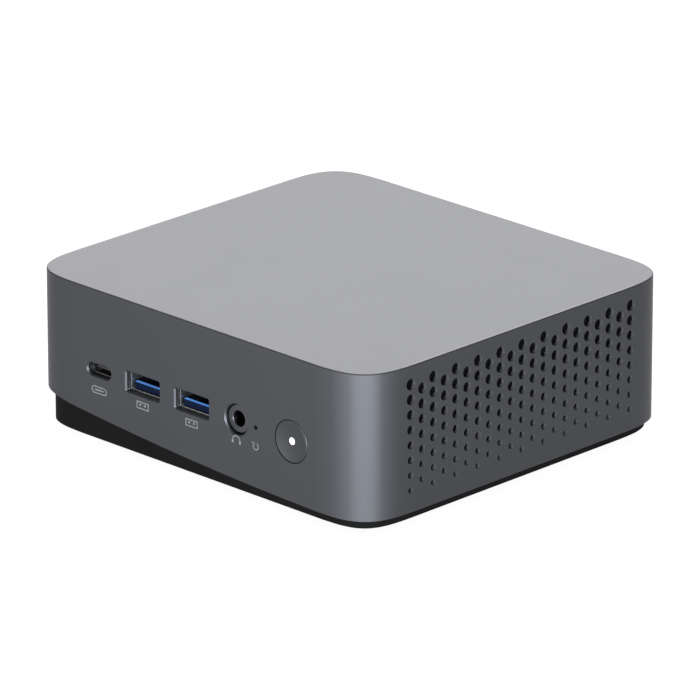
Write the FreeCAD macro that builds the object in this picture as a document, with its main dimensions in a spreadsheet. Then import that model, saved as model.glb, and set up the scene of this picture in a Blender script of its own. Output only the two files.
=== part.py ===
import FreeCAD
import Part
import Sketcher
import math
import os
import re

# Driving dimensions in millimetres. X runs to the right, Y to the back, Z up.
# The origin is on the floor, under the middle of the case.
DIMENSIONS = {
    # case
    "case_width": 136.0,
    "case_depth": 126.0,
    "case_top": 48.0,
    "past": 1.0,
    "join": 0.1,
    "wall": 1.7,
    "roof": 2.0,
    "top_round": 0.4,
    "corner_wide": 83.0,
    "corner_wide_sweep": 4.8,
    "corner_middle": 22.7,
    "corner_middle_sweep": 14.6,
    "corner_tight": 11.0,
    "skirt_low": 4.4,
    "skirt_radius": 1149.0,
    "front_land": 2.0,
    "land_width": 96.0,
    "land_low": 14.5,
    "land_height": 18.0,
    # base cover and feet
    "base_bottom": 1.5,
    "base_inset": 2.0,
    "base_wall": 1.8,
    "base_floor": 2.0,
    "base_lip": 2.0,
    "base_tall": 15.5,
    "base_round": 0.4,
    "foot_radius": 6.0,
    "foot_sink": 0.8,
    "foot_gap": 0.1,
    "foot_round": 0.4,
    "foot_x": 46.0,
    "foot_y": 41.0,
    "boss_top": 6.5,
    "boss_radius": 5.0,
    "screw_seat": 4.5,
    "screw_head_radius": 2.6,
    "screw_head_height": 1.9,
    "screw_radius": 1.25,
    "screw_length": 8.0,
    "screw_gap": 0.3,
    "cross_length": 3.0,
    "cross_width": 0.6,
    "cross_depth": 1.0,
    "thread_gap": 0.02,
    "column_radius": 2.9,
    "stub_length": 6.0,
    "bracket_spacing": 75.0,
    "bracket_hole_radius": 1.65,
    "bracket_hole_depth": 4.2,
    "bracket_boss_wall": 2.0,
    "inlet_length": 46.0,
    "inlet_width": 2.2,
    "inlet_pitch": 5.0,
    "inlet_count": 9,
    # posts that hang from the roof
    "post_x": 54.5,
    "post_y": 50.5,
    "post_radius": 3.3,
    "post_hole_depth": 8.0,
    # side vents: rows get smaller towards the floor
    "vent_pitch": 4.5,
    "vent_top": 42.5,
    "vent_low": 11.0,
    "vent_big_radius": 1.7,
    "vent_small_radius": 0.9,
    "vent_long_row": 11,
    "vent_short_row": 10,
    "relief_width": 95.0,
    "relief_top": 45.3,
    "relief_low": 8.4,
    "relief_low_left": 14.3,
    "relief_wall": 1.0,
    "screen_gap": 0.15,
    "screen_thick": 0.4,
    # front sockets and controls
    "port_height": 23.5,
    "port_recess": 1.9,
    "port_gap": 0.15,
    "port_bevel": 0.4,
    "port_round": 0.5,
    "usb_width": 13.1,
    "usb_height": 5.7,
    "usb_skin": 0.35,
    "usb_depth": 14.0,
    "usb_first_x": -20.5,
    "usb_second_x": -0.64,
    "usb_tongue_width": 11.1,
    "usb_tongue_thick": 1.84,
    "usb_tongue_low": 0.15,
    "usb_tongue_length": 9.0,
    "usb_tongue_recess": 0.6,
    "type_c_x": -38.3,
    "type_c_width": 9.1,
    "type_c_height": 3.35,
    "type_c_skin": 0.35,
    "type_c_depth": 7.4,
    "type_c_back": 1.2,
    "type_c_tongue_width": 6.7,
    "type_c_tongue_length": 5.1,
    "type_c_tongue_thick": 0.7,
    "riser_width": 7.6,
    "riser_length": 5.2,
    "audio_x": 17.3,
    "audio_recess": 1.1,
    "audio_barrel_radius": 4.0,
    "audio_bore_radius": 1.8,
    "audio_hole_radius": 4.45,
    "audio_neck": 3.7,
    "audio_tube_radius": 2.6,
    "audio_lead_radius": 2.5,
    "audio_lead_depth": 1.0,
    "audio_length": 14.0,
    "audio_holder_width": 7.4,
    "audio_holder_length": 12.0,
    "audio_holder_height": 6.4,
    "reset_x": 25.0,
    "reset_z": 23.2,
    "reset_hole_radius": 0.7,
    "button_x": 39.0,
    "button_z": 22.7,
    "button_radius": 6.25,
    "button_gap": 0.2,
    "button_slack": 0.05,
    "button_round": 0.25,
    "button_rim": 0.5,
    "button_dish": 0.45,
    "button_flange_radius": 7.1,
    "button_flange": 1.0,
    "button_stem_radius": 1.5,
    "button_stem_end": 7.0,
    "lens_radius": 1.0,
    "lens_depth": 2.0,
    "lens_proud": 0.05,
    "plunger_gap": 0.05,
    "plunger_space": 0.8,
    "power_switch_width": 6.4,
    "power_switch_height": 5.0,
    "power_switch_depth": 4.5,
    "power_switch_plunger": 1.1,
    "power_switch_reach": 1.8,
    "power_switch_bore": 3.0,
    "reset_switch_width": 4.0,
    "reset_switch_height": 4.0,
    "reset_switch_depth": 3.4,
    "reset_switch_plunger": 0.6,
    "reset_switch_reach": 1.2,
    "reset_switch_bore": 2.0,
    "reset_switch_front": 4.6,
    # rear sockets
    "rear_recess": 1.0,
    "power_inlet_x": 42.5,
    "power_inlet_z": 26.6,
    "power_inlet_radius": 3.9,
    "power_inlet_nose": 1.6,
    "power_inlet_width": 9.0,
    "power_inlet_length": 11.0,
    "power_inlet_height": 11.4,
    "power_bore_radius": 2.9,
    "power_bore_depth": 9.6,
    "power_pin_radius": 1.05,
    "power_pin_length": 9.0,
    "video_first_x": 28.0,
    "video_second_x": 10.5,
    "video_width": 14.9,
    "video_height": 5.6,
    "video_depth": 11.0,
    "video_skin": 0.4,
    "video_round": 0.5,
    "video_tongue_width": 11.4,
    "video_tongue_thick": 1.2,
    "video_tongue_recess": 1.0,
    "network_x": -7.5,
    "network_width": 16.0,
    "network_height": 13.4,
    "network_depth": 21.0,
    "network_mouth_width": 11.8,
    "network_mouth_height": 7.0,
    "network_mouth_depth": 13.0,
    "network_mouth_rise": 3.2,
    "latch_width": 4.4,
    "latch_rise": 1.4,
    "contact_pitch": 1.02,
    "contact_width": 0.4,
    "contact_length": 6.0,
    "contact_height": 1.6,
    "contact_recess": 6.0,
    "rear_usb_first_x": -24.7,
    "rear_usb_second_x": -40.4,
    "exhaust_low": 36.5,
    "exhaust_height": 7.5,
    "exhaust_width": 2.2,
    "exhaust_pitch": 4.4,
    "exhaust_count": 14,
    # mainboard and what it carries
    "board_thick": 1.6,
    "board_inset": 5.0,
    "board_hole_gap": 0.1,
    "chip_width": 30.0,
    "chip_depth": 25.0,
    "chip_thick": 0.8,
    "die_width": 14.0,
    "die_depth": 10.0,
    "die_thick": 0.7,
    "sink_width": 66.0,
    "sink_depth": 62.0,
    "sink_base": 3.0,
    "fin_thick": 0.8,
    "fin_pitch": 2.6,
    "fin_height": 7.8,
    "fin_count": 25,
    "sink_root": 0.2,
    "sink_post_radius": 3.0,
    "sink_leg_radius": 2.5,
    "sink_leg_inset": 3.0,
    "sink_leg_root": 0.5,
    "sink_drill_depth": 6.0,
    "fan_lift": 0.2,
    "fan_size": 60.0,
    "fan_height": 10.0,
    "fan_bore_radius": 28.5,
    "fan_hole_offset": 25.0,
    "fan_seat_radius": 12.0,
    "fan_seat_height": 1.4,
    "fan_screw_head": 1.4,
    "fan_screw_grip": 4.0,
    "strut_width": 3.6,
    "strut_root": 0.5,
    "strut_end": 1.0,
    "hub_radius": 11.5,
    "hub_low": 2.0,
    "hub_height": 7.6,
    "blade_reach": 27.2,
    "blade_chord": 9.0,
    "blade_thick": 0.8,
    "blade_root": 0.6,
    "hub_cap": 1.0,
    "spindle_radius": 1.5,
    "spindle_gap": 0.05,
    "memory_length": 67.6,
    "memory_depth": 30.0,
    "memory_thick": 1.2,
    "memory_drop": 2.4,
    "memory_step": 4.4,
    "memory_socket_x": -10.0,
    "memory_socket_step": 7.0,
    "memory_socket_depth": 6.0,
    "memory_socket_base": 1.2,
    "memory_socket_end": 1.5,
    "memory_slit_reach": 4.0,
    "memory_chip_length": 10.0,
    "memory_chip_width": 11.0,
    "memory_chip_thick": 1.0,
    "memory_chip_pitch": 15.0,
    "memory_chip_offset": 3.0,
    "drive_x": 21.0,
    "drive_start": -40.0,
    "drive_length": 80.0,
    "radio_x": 47.0,
    "radio_start": -18.0,
    "radio_length": 30.0,
    "card_width": 22.0,
    "card_thick": 0.8,
    "card_drop": 2.1,
    "card_slit_gap": 0.02,
    "card_socket_width": 21.8,
    "card_socket_length": 6.0,
    "card_socket_front": 3.5,
    "card_socket_base": 0.8,
    "card_chip_width": 13.0,
    "card_chip_thick": 1.2,
    "card_chip_space": 3.0,
    "card_chip_start": 4.0,
    "card_spacer_radius": 2.6,
    "card_screw_radius": 2.5,
    "card_screw_height": 1.1,
    # small parts on the board
    "coil_size": 6.6,
    "coil_height": 4.0,
    "coil_x": -20.0,
    "coil_y": -38.0,
    "can_radius": 3.2,
    "can_height": 7.0,
    "can_x": 45.0,
    "can_y": -26.0,
    "small_pitch": 9.0,
    "cell_x": 46.0,
    "cell_y": 32.0,
    "cell_radius": 10.0,
    "cell_thick": 3.2,
    "cell_gap": 0.05,
    "cell_cup_radius": 11.2,
    "cell_cup_height": 4.0,
    "cell_well_depth": 3.3,
    "antenna_y": 22.0,
    "antenna_length": 34.0,
    "antenna_height": 7.0,
    "antenna_thick": 0.8,
    "antenna_lift": 0.5,
}

BLADES = 9
BLADE_TILT = 40.0
STRUTS = 3
LEFT_VENT_ROWS = 3
SMALL_PARTS = 5         # coils, and cans, in each row
WIRES = 8
MEMORY_CHIPS = 4
DRIVE_CHIPS = (12, 18, 18)      # lengths of the chips on each plug-in card
RADIO_CHIPS = (14,)
EXACT = 1e-4            # two heights nearer than this are the same
ALONG_Y = FreeCAD.Rotation(FreeCAD.Vector(1, 0, 0), -90)
HALF_SPAN = 70.0        # half the width of the flat cutters, past the case sides
ROUND_END = 0.02        # a slot's end radius is this much under half its height

doc = FreeCAD.newDocument("MiniPC")
dims = doc.addObject("Spreadsheet::Sheet", "Dims")
for row, (alias, size) in enumerate(DIMENSIONS.items(), start=1):
    dims.set(f"A{row}", alias)
    dims.set(f"B{row}", str(size))
    dims.setAlias(f"B{row}", alias)
doc.recompute()

sub_parts = []


# ---------------------------------------------------------------- rules
def rule(text):
    """Point every dimension name in a formula at the spreadsheet."""
    def point(word):
        return "Dims." + word.group() if word.group() in DIMENSIONS else word.group()
    return re.sub(r"[a-z_]+", point, str(text))


def value(text):
    """The formula's number now, used to start a sketch near its final shape."""
    return float(dims.evalExpression(rule(text)))


def sub_part(item, label):
    """Name a finished sub-part; the label also names its file."""
    item.Label = label
    sub_parts.append(item)
    return item


# Heights that several sub-parts share, as formulas.
BOARD_TOP = "(port_height - usb_height / 2)"
BOARD_LOW = f"({BOARD_TOP} - board_thick)"
FRONT = "(-case_depth / 2)"
REAR = "(case_depth / 2)"
SINK_LOW = f"({BOARD_TOP} + chip_thick + die_thick)"
FIN_LOW = f"({SINK_LOW} + sink_base)"
FAN_LOW = f"({FIN_LOW} + fin_height + fan_lift)"
CARD_LOW = f"({BOARD_LOW} - card_drop - card_thick)"
PORT_FACE = f"({FRONT} + port_recess)"
REAR_FACE = f"({REAR} - rear_recess)"
CORNER_RADII = ("corner_wide", "corner_middle", "corner_tight", "corner_middle", "corner_wide")
CORNER_SWEEPS = ("corner_wide_sweep", "corner_middle_sweep",
                 "90 - 2 * (corner_wide_sweep + corner_middle_sweep)",
                 "corner_middle_sweep", "corner_wide_sweep")


# ---------------------------------------------------------------- primitives
def block(name, middle, low, size):
    """Box centred on middle = (x, y), standing on the height low."""
    box = doc.addObject("Part::Box", name)
    for side, length in zip(("Length", "Width", "Height"), size):
        box.setExpression(side, rule(length))
    box.setExpression("Placement.Base.x", rule(f"({middle[0]}) - ({size[0]}) / 2"))
    box.setExpression("Placement.Base.y", rule(f"({middle[1]}) - ({size[1]}) / 2"))
    box.setExpression("Placement.Base.z", rule(low))
    return box


def rod(name, start, radius, length, axis="Z"):
    """Cylinder from start = (x, y, z) along +Z, or along +Y when axis is Y."""
    cylinder = doc.addObject("Part::Cylinder", name)
    cylinder.setExpression("Radius", rule(radius))
    cylinder.setExpression("Height", rule(length))
    if axis == "Y":
        cylinder.Placement.Rotation = ALONG_Y
    for letter, place in zip("xyz", start):
        cylinder.setExpression("Placement.Base." + letter, rule(place))
    return cylinder


def spoke(name, angle, start, height, size, tilt=0):
    """Box that runs outwards from the Z axis at an angle; size = (length, width, thickness).

    It begins at the radius start, is centred on height, and is tilted about its own length."""
    bar = doc.addObject("Part::Box", name)
    for side, length in zip(("Length", "Width", "Height"), size):
        bar.setExpression(side, rule(length))
    spin = FreeCAD.Rotation(FreeCAD.Vector(0, 0, 1), angle)
    bar.Placement.Rotation = spin.multiply(FreeCAD.Rotation(FreeCAD.Vector(1, 0, 0), tilt))
    half_width, half_thick = f"({size[1]}) / 2", f"({size[2]}) / 2"
    across = f"({half_thick} * sin({tilt} deg) - {half_width} * cos({tilt} deg))"
    upward = f"({half_width} * sin({tilt} deg) + {half_thick} * cos({tilt} deg))"
    bar.setExpression("Placement.Base.x", rule(f"({start}) * cos({angle} deg) - {across} * sin({angle} deg)"))
    bar.setExpression("Placement.Base.y", rule(f"({start}) * sin({angle} deg) + {across} * cos({angle} deg)"))
    bar.setExpression("Placement.Base.z", rule(f"{height} - {upward}"))
    return bar


def cut(name, base, tools):
    """Base minus every tool."""
    tool = tools[0] if len(tools) == 1 else fuse(name + "Tools", tools)
    result = doc.addObject("Part::Cut", name)
    result.Base = base
    result.Tool = tool
    return result


def fuse(name, items):
    result = doc.addObject("Part::MultiFuse", name)
    result.Shapes = items
    return result


def group(name, items):
    """Separate solids that share one sub-part."""
    result = doc.addObject("Part::Compound", name)
    result.Links = items
    return result


def corners(x, y):
    """The four places at plus and minus x and y."""
    return [(f"{i} * ({x})", f"{j} * ({y})") for i in (-1, 1) for j in (-1, 1)]


# ---------------------------------------------------------------- sketches and features
def new_body(name):
    return doc.addObject("PartDesign::Body", name)


def origin_item(body, role):
    return next(item for item in body.Origin.OriginFeatures if item.Role == role)


def sketch_on(body, name, role, offset="0"):
    """Sketch on an origin plane, moved along the plane's normal by offset."""
    sketch = body.newObject("Sketcher::SketchObject", name)
    sketch.AttachmentSupport = [(origin_item(body, role), "")]
    sketch.MapMode = "FlatFace"
    sketch.setExpression("AttachmentOffset.Base.z", rule(offset))
    doc.recompute()
    return sketch


def drive(sketch, kind, *what):
    """Add a dimension to a sketch and bind it to a formula, the last argument."""
    formula = what[-1]
    start = value(formula)
    if kind == "Angle":
        start = math.radians(start)
    index = sketch.addConstraint(Sketcher.Constraint(kind, *what[:-1], start))
    sketch.setExpression(f"Constraints[{index}]", rule(formula))


def add_circle(sketch, x, y, radius):
    centre = FreeCAD.Vector(value(x), value(y), 0)
    circle = sketch.addGeometry(Part.Circle(centre, FreeCAD.Vector(0, 0, 1), value(radius)))
    drive(sketch, "DistanceX", -1, 1, circle, 3, x)
    drive(sketch, "DistanceY", -1, 1, circle, 3, y)
    drive(sketch, "Radius", circle, radius)


def add_rectangle(sketch, x, y, width, height):
    """Rectangle centred on x, y."""
    half_w, half_h = value(width) / 2, value(height) / 2
    spots = [FreeCAD.Vector(value(x) + i * half_w, value(y) + j * half_h, 0)
             for i, j in ((-1, -1), (1, -1), (1, 1), (-1, 1))]
    sides = [sketch.addGeometry(Part.LineSegment(spots[i], spots[(i + 1) % 4])) for i in range(4)]
    for i in range(4):
        sketch.addConstraint(Sketcher.Constraint("Coincident", sides[i], 2, sides[(i + 1) % 4], 1))
    for i, kind in enumerate(("Horizontal", "Vertical", "Horizontal", "Vertical")):
        sketch.addConstraint(Sketcher.Constraint(kind, sides[i]))
    drive(sketch, "DistanceX", sides[0], 1, sides[0], 2, width)
    drive(sketch, "DistanceY", sides[1], 1, sides[1], 2, height)
    drive(sketch, "DistanceX", -1, 1, sides[0], 1, f"({x}) - ({width}) / 2")
    drive(sketch, "DistanceY", -1, 1, sides[0], 1, f"({y}) - ({height}) / 2")


def add_rounded(sketch, x, y, width, height, radius):
    """Rectangle with round corners, centred on x, y; the radius is under half the height."""
    half_w, half_h, r = value(width) / 2, value(height) / 2, value(radius)
    x_now, y_now = value(x), value(y)
    arcs = []
    for i, j, start in ((1, 1, 0), (-1, 1, 90), (-1, -1, 180), (1, -1, 270)):
        centre = FreeCAD.Vector(x_now + i * (half_w - r), y_now + j * (half_h - r), 0)
        ring = Part.Circle(centre, FreeCAD.Vector(0, 0, 1), r)
        arcs.append(sketch.addGeometry(
            Part.ArcOfCircle(ring, math.radians(start), math.radians(start + 90))))
    lines = []
    for i in range(4):
        first = sketch.Geometry[arcs[i]].EndPoint
        second = sketch.Geometry[arcs[(i + 1) % 4]].StartPoint
        lines.append(sketch.addGeometry(Part.LineSegment(first, second)))
    for i in range(4):
        sketch.addConstraint(Sketcher.Constraint("Tangent", arcs[i], 2, lines[i], 1))
        sketch.addConstraint(Sketcher.Constraint("Tangent", lines[i], 2, arcs[(i + 1) % 4], 1))
        sketch.addConstraint(Sketcher.Constraint("Horizontal" if i % 2 == 0 else "Vertical", lines[i]))
    for i in range(1, 4):
        sketch.addConstraint(Sketcher.Constraint("Equal", arcs[0], arcs[i]))
    drive(sketch, "Radius", arcs[0], radius)
    drive(sketch, "DistanceX", -1, 1, arcs[0], 3, f"({x}) + ({width}) / 2 - ({radius})")
    drive(sketch, "DistanceY", -1, 1, arcs[0], 3, f"({y}) + ({height}) / 2 - ({radius})")
    drive(sketch, "DistanceX", -1, 1, arcs[2], 3, f"({x}) - ({width}) / 2 + ({radius})")
    drive(sketch, "DistanceY", -1, 1, arcs[2], 3, f"({y}) - ({height}) / 2 + ({radius})")


def add_soft_outline(sketch, inset):
    """The case outline, moved in by inset. Each corner is five arcs that tighten towards its middle."""
    half_w = value(f"case_width / 2 - ({inset})")
    half_d = value(f"case_depth / 2 - ({inset})")
    radii = [f"{arc} - ({inset})" for arc in CORNER_RADII]
    sweeps = [math.radians(value(sweep)) for sweep in CORNER_SWEEPS]

    # one corner as centres and angles, starting level with the side at x = 0
    spot = FreeCAD.Vector(0, 0, 0)
    angle = 0.0
    corner = []
    for radius, sweep in zip(map(value, radii), sweeps):
        centre = spot - radius * FreeCAD.Vector(math.cos(angle), math.sin(angle), 0)
        corner.append((centre, radius, angle, angle + sweep))
        angle += sweep
        spot = centre + radius * FreeCAD.Vector(math.cos(angle), math.sin(angle), 0)

    arcs = []
    for quarter in range(4):
        turn = FreeCAD.Rotation(FreeCAD.Vector(0, 0, 1), 90 * quarter)
        wide, deep = (half_w, half_d) if quarter % 2 == 0 else (half_d, half_w)
        start = FreeCAD.Vector(wide, deep - spot.y, 0)
        for centre, radius, first, last in corner:
            ring = Part.Circle(turn.multVec(start + centre), FreeCAD.Vector(0, 0, 1), radius)
            angles = [angle + math.pi / 2 * quarter for angle in (first, last)]
            arcs.append(sketch.addGeometry(Part.ArcOfCircle(ring, *angles)))
    per_corner = len(corner)
    lines = []
    for quarter in range(4):
        last_arc = arcs[per_corner * (quarter + 1) - 1]
        next_arc = arcs[per_corner * (quarter + 1) % len(arcs)]
        line = sketch.addGeometry(Part.LineSegment(sketch.Geometry[last_arc].EndPoint,
                                                   sketch.Geometry[next_arc].StartPoint))
        lines.append(line)
        chain = arcs[per_corner * quarter:per_corner * (quarter + 1)] + [line, next_arc]
        for item, following in zip(chain, chain[1:]):
            sketch.addConstraint(Sketcher.Constraint("Tangent", item, 2, following, 1))
        sketch.addConstraint(Sketcher.Constraint("Horizontal" if quarter % 2 == 0 else "Vertical", line))
        for i, arc in enumerate(chain[:per_corner]):
            drive(sketch, "Radius", arc, radii[i])
            if i != per_corner // 2:
                drive(sketch, "Angle", arc, CORNER_SWEEPS[i])
    drive(sketch, "DistanceY", -1, 1, lines[0], 1, f"case_depth / 2 - ({inset})")
    drive(sketch, "DistanceX", -1, 1, lines[1], 1, f"-(case_width / 2 - ({inset}))")
    drive(sketch, "DistanceY", -1, 1, lines[2], 1, f"-(case_depth / 2 - ({inset}))")
    drive(sketch, "DistanceX", -1, 1, lines[3], 1, f"case_width / 2 - ({inset})")


def add_skirt_region(sketch, lift, edge):
    """Region between the skirt curve, raised by lift, and the level line at edge.

    The curve is one large arc that is level at the right side of the case."""
    radius = value("skirt_radius")
    centre = FreeCAD.Vector(value("case_width / 2"), value(f"skirt_low + skirt_radius + ({lift})"), 0)

    def on_curve(x):
        return centre.y - math.sqrt(radius ** 2 - (x - centre.x) ** 2)
    left = FreeCAD.Vector(-HALF_SPAN, on_curve(-HALF_SPAN), 0)
    right = FreeCAD.Vector(HALF_SPAN, on_curve(HALF_SPAN), 0)
    angles = [math.atan2(spot.y - centre.y, spot.x - centre.x) for spot in (left, right)]
    level = value(edge)
    curve = sketch.addGeometry(Part.ArcOfCircle(
        Part.Circle(centre, FreeCAD.Vector(0, 0, 1), radius), *angles))
    spots = [right, FreeCAD.Vector(HALF_SPAN, level, 0), FreeCAD.Vector(-HALF_SPAN, level, 0), left]
    lines = [sketch.addGeometry(Part.LineSegment(spots[i], spots[i + 1])) for i in range(3)]
    sketch.addConstraint(Sketcher.Constraint("Coincident", curve, 2, lines[0], 1))
    sketch.addConstraint(Sketcher.Constraint("Coincident", lines[0], 2, lines[1], 1))
    sketch.addConstraint(Sketcher.Constraint("Coincident", lines[1], 2, lines[2], 1))
    sketch.addConstraint(Sketcher.Constraint("Coincident", lines[2], 2, curve, 1))
    for line, kind in zip(lines, ("Vertical", "Horizontal", "Vertical")):
        sketch.addConstraint(Sketcher.Constraint(kind, line))
    drive(sketch, "Radius", curve, "skirt_radius")
    drive(sketch, "DistanceX", -1, 1, curve, 3, "case_width / 2")
    drive(sketch, "DistanceY", -1, 1, curve, 3, f"skirt_low + skirt_radius + ({lift})")
    drive(sketch, "DistanceX", -1, 1, lines[0], 2, str(HALF_SPAN))
    drive(sketch, "DistanceX", -1, 1, lines[2], 1, str(-HALF_SPAN))
    drive(sketch, "DistanceY", -1, 1, lines[1], 1, edge)


def pad(body, sketch, length, reverse=False):
    feature = body.newObject("PartDesign::Pad", sketch.Name + "Pad")
    feature.Profile = sketch
    feature.setExpression("Length", rule(length))
    feature.Reversed = reverse
    doc.recompute()
    return feature


def pocket(body, sketch, length, reverse=False, both=False, taper=0.0):
    """Pocket that must take material away."""
    before = body.Shape.Volume
    feature = body.newObject("PartDesign::Pocket", sketch.Name + "Pocket")
    feature.Profile = sketch
    feature.setExpression("Length", rule(length))
    feature.Reversed = reverse
    feature.Midplane = both
    feature.TaperAngle = taper
    feature.Refine = False
    doc.recompute()
    if body.Shape.Volume >= before - 1e-6:
        raise RuntimeError(feature.Name + " cuts nothing")
    return feature


def row_of(body, feature, role, length, count):
    """Repeat a feature along an origin axis."""
    pattern = body.newObject("PartDesign::LinearPattern", feature.Name + "Row")
    pattern.Originals = [feature]
    pattern.Direction = (origin_item(body, role), [""])
    pattern.setExpression("Length", rule(length))
    pattern.setExpression("Occurrences", rule(count))
    pattern.Refine = False
    body.Tip = pattern
    doc.recompute()
    return pattern


def round_edges(body, radius, keep):
    """Fillet the edges of the body for which keep(edge) is true."""
    names = [f"Edge{i + 1}" for i, edge in enumerate(body.Tip.Shape.Edges) if keep(edge)]
    base = body.Tip
    fillet = body.newObject("PartDesign::Fillet", body.Name + "Round")
    fillet.Base = (base, names)
    fillet.setExpression("Radius", rule(radius))
    doc.recompute()
    return fillet


def level_at(height):
    """Test for edges that lie at one height."""
    place = value(height)

    def keep(edge):
        box = edge.BoundBox
        return abs(box.ZMin - place) < EXACT and abs(box.ZMax - place) < EXACT
    return keep


# ---------------------------------------------------------------- top shell
def front_openings(sketch, grow):
    """The openings in the front wall, each made larger all round by grow."""
    wide = f"2 * (port_gap + ({grow}))"
    for x in ("usb_first_x", "usb_second_x"):
        add_rounded(sketch, x, "port_height", f"usb_width + {wide}", f"usb_height + {wide}",
                    f"port_round + ({grow})")
    add_rounded(sketch, "type_c_x", "port_height", f"type_c_width + {wide}", f"type_c_height + {wide}",
                f"(type_c_height + {wide}) / 2 - {ROUND_END}")
    add_circle(sketch, "audio_x", "port_height", f"audio_hole_radius + ({grow})")


def cut_rear_openings(body):
    rear = sketch_on(body, "RearOpenings", "XZ_Plane", "-case_depth / 2")
    for x in ("rear_usb_first_x", "rear_usb_second_x"):
        add_rounded(rear, x, "port_height", "usb_width + 2 * port_gap", "usb_height + 2 * port_gap",
                    "port_round")
    for x in ("video_first_x", "video_second_x"):
        add_rounded(rear, x, f"{BOARD_TOP} + video_height / 2", "video_width + 2 * port_gap",
                    "video_height + 2 * port_gap", "video_round")
    add_rounded(rear, "network_x", f"{BOARD_TOP} + network_height / 2", "network_width + 2 * port_gap",
                "network_height + 2 * port_gap", "port_round")
    add_circle(rear, "power_inlet_x", "power_inlet_z", "power_inlet_radius + port_gap")
    pocket(body, rear, "wall + past", reverse=True)
    slot = sketch_on(body, "Exhaust", "XZ_Plane", "-case_depth / 2")
    add_rounded(slot, "-exhaust_pitch * (exhaust_count - 1) / 2", "exhaust_low + exhaust_height / 2",
                "exhaust_width", "exhaust_height", f"exhaust_width / 2 - {ROUND_END}")
    hole = pocket(body, slot, "wall + past", reverse=True)
    row_of(body, hole, "X_Axis", "exhaust_pitch * (exhaust_count - 1)", "exhaust_count")


def cut_side_vents(body):
    """Staggered rows of round holes that shrink towards the floor; the left side has only the top rows."""
    steps = int(round((DIMENSIONS["vent_top"] - DIMENSIONS["vent_low"]) / DIMENSIONS["vent_pitch"] * 2))
    for step in range(steps + 1):
        height = f"(vent_top - {step} * vent_pitch / 2)"
        radius = f"vent_big_radius + (vent_small_radius - vent_big_radius) * {step} / {steps}"
        count = "vent_long_row" if step % 2 == 0 else "vent_short_row"
        start = f"-vent_pitch * ({count} - 1)"
        reaches_left = step < LEFT_VENT_ROWS
        vent = sketch_on(body, f"Vent{step}", "YZ_Plane", "0" if reaches_left else "case_width / 2 + past")
        add_circle(vent, start, height, radius)
        if reaches_left:
            hole = pocket(body, vent, "case_width + 2 * past", both=True)
        else:
            hole = pocket(body, vent, "wall + 2 * past")
        row_of(body, hole, "Y_Axis", f"2 * vent_pitch * ({count} - 1)", count)


def make_top_shell():
    body = new_body("TopShell")
    outline = sketch_on(body, "ShellOutline", "XY_Plane", "skirt_low - past")
    add_soft_outline(outline, "0")
    pad(body, outline, "case_top - skirt_low + past")
    round_edges(body, "top_round", level_at("case_top"))
    hollow = sketch_on(body, "ShellHollow", "XY_Plane", "skirt_low - past")
    add_soft_outline(hollow, "wall")
    pocket(body, hollow, "case_top - roof - skirt_low + past", reverse=True)
    skirt = sketch_on(body, "ShellSkirt", "XZ_Plane")
    add_skirt_region(skirt, "0", "0")
    pocket(body, skirt, "2 * case_depth", both=True)

    land = sketch_on(body, "FrontLand", "XZ_Plane", "case_depth / 2 - front_land")
    add_rectangle(land, "0", "land_low + land_height / 2", "land_width", "land_height")
    pad(body, land, "front_land - wall + join")

    for name, side, low in (("Right", 1, "relief_low"), ("Left", -1, "relief_low_left")):
        inner = f"{side} * (case_width / 2 - relief_wall)"
        relief = sketch_on(body, name + "Relief", "YZ_Plane", inner)
        add_rectangle(relief, "0", f"(relief_top + {low}) / 2", "relief_width", f"relief_top - {low}")
        pocket(body, relief, "wall", reverse=(side < 0))

    posts = sketch_on(body, "Posts", "XY_Plane", BOARD_TOP)
    drills = sketch_on(body, "PostHoles", "XY_Plane", BOARD_TOP)
    for x, y in corners("post_x", "post_y"):
        add_circle(posts, x, y, "post_radius")
        add_circle(drills, x, y, "screw_radius + thread_gap")
    pad(body, posts, f"case_top - roof / 2 - {BOARD_TOP}")
    pocket(body, drills, "post_hole_depth", reverse=True)

    openings = sketch_on(body, "FrontOpenings", "XZ_Plane", "case_depth / 2")
    front_openings(openings, "0")
    add_circle(openings, "reset_x", "reset_z", "reset_hole_radius")
    add_circle(openings, "button_x", "button_z", "button_radius + button_gap")
    pocket(body, openings, "front_land + past")
    bevels = sketch_on(body, "FrontBevels", "XZ_Plane", "case_depth / 2")
    front_openings(bevels, "port_bevel")
    pocket(body, bevels, "port_bevel", taper=-45)
    cut_rear_openings(body)
    cut_side_vents(body)
    return sub_part(body, "top_shell")


def make_dust_screens():
    """Thin dust filters that lie in the relief behind each side's vents."""
    screens = []
    for name, side, low in (("Right", 1, "relief_low"), ("Left", -1, "relief_low_left")):
        middle = f"{side} * (case_width / 2 - relief_wall - screen_gap - screen_thick / 2)"
        screens.append(block(name + "Screen", (middle, "0"), f"{low} + screen_gap",
                             ("screen_thick", "relief_width - 2 * screen_gap",
                              f"relief_top - {low} - 2 * screen_gap")))
    return sub_part(group("Screens", screens), "dust_screens")


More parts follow.
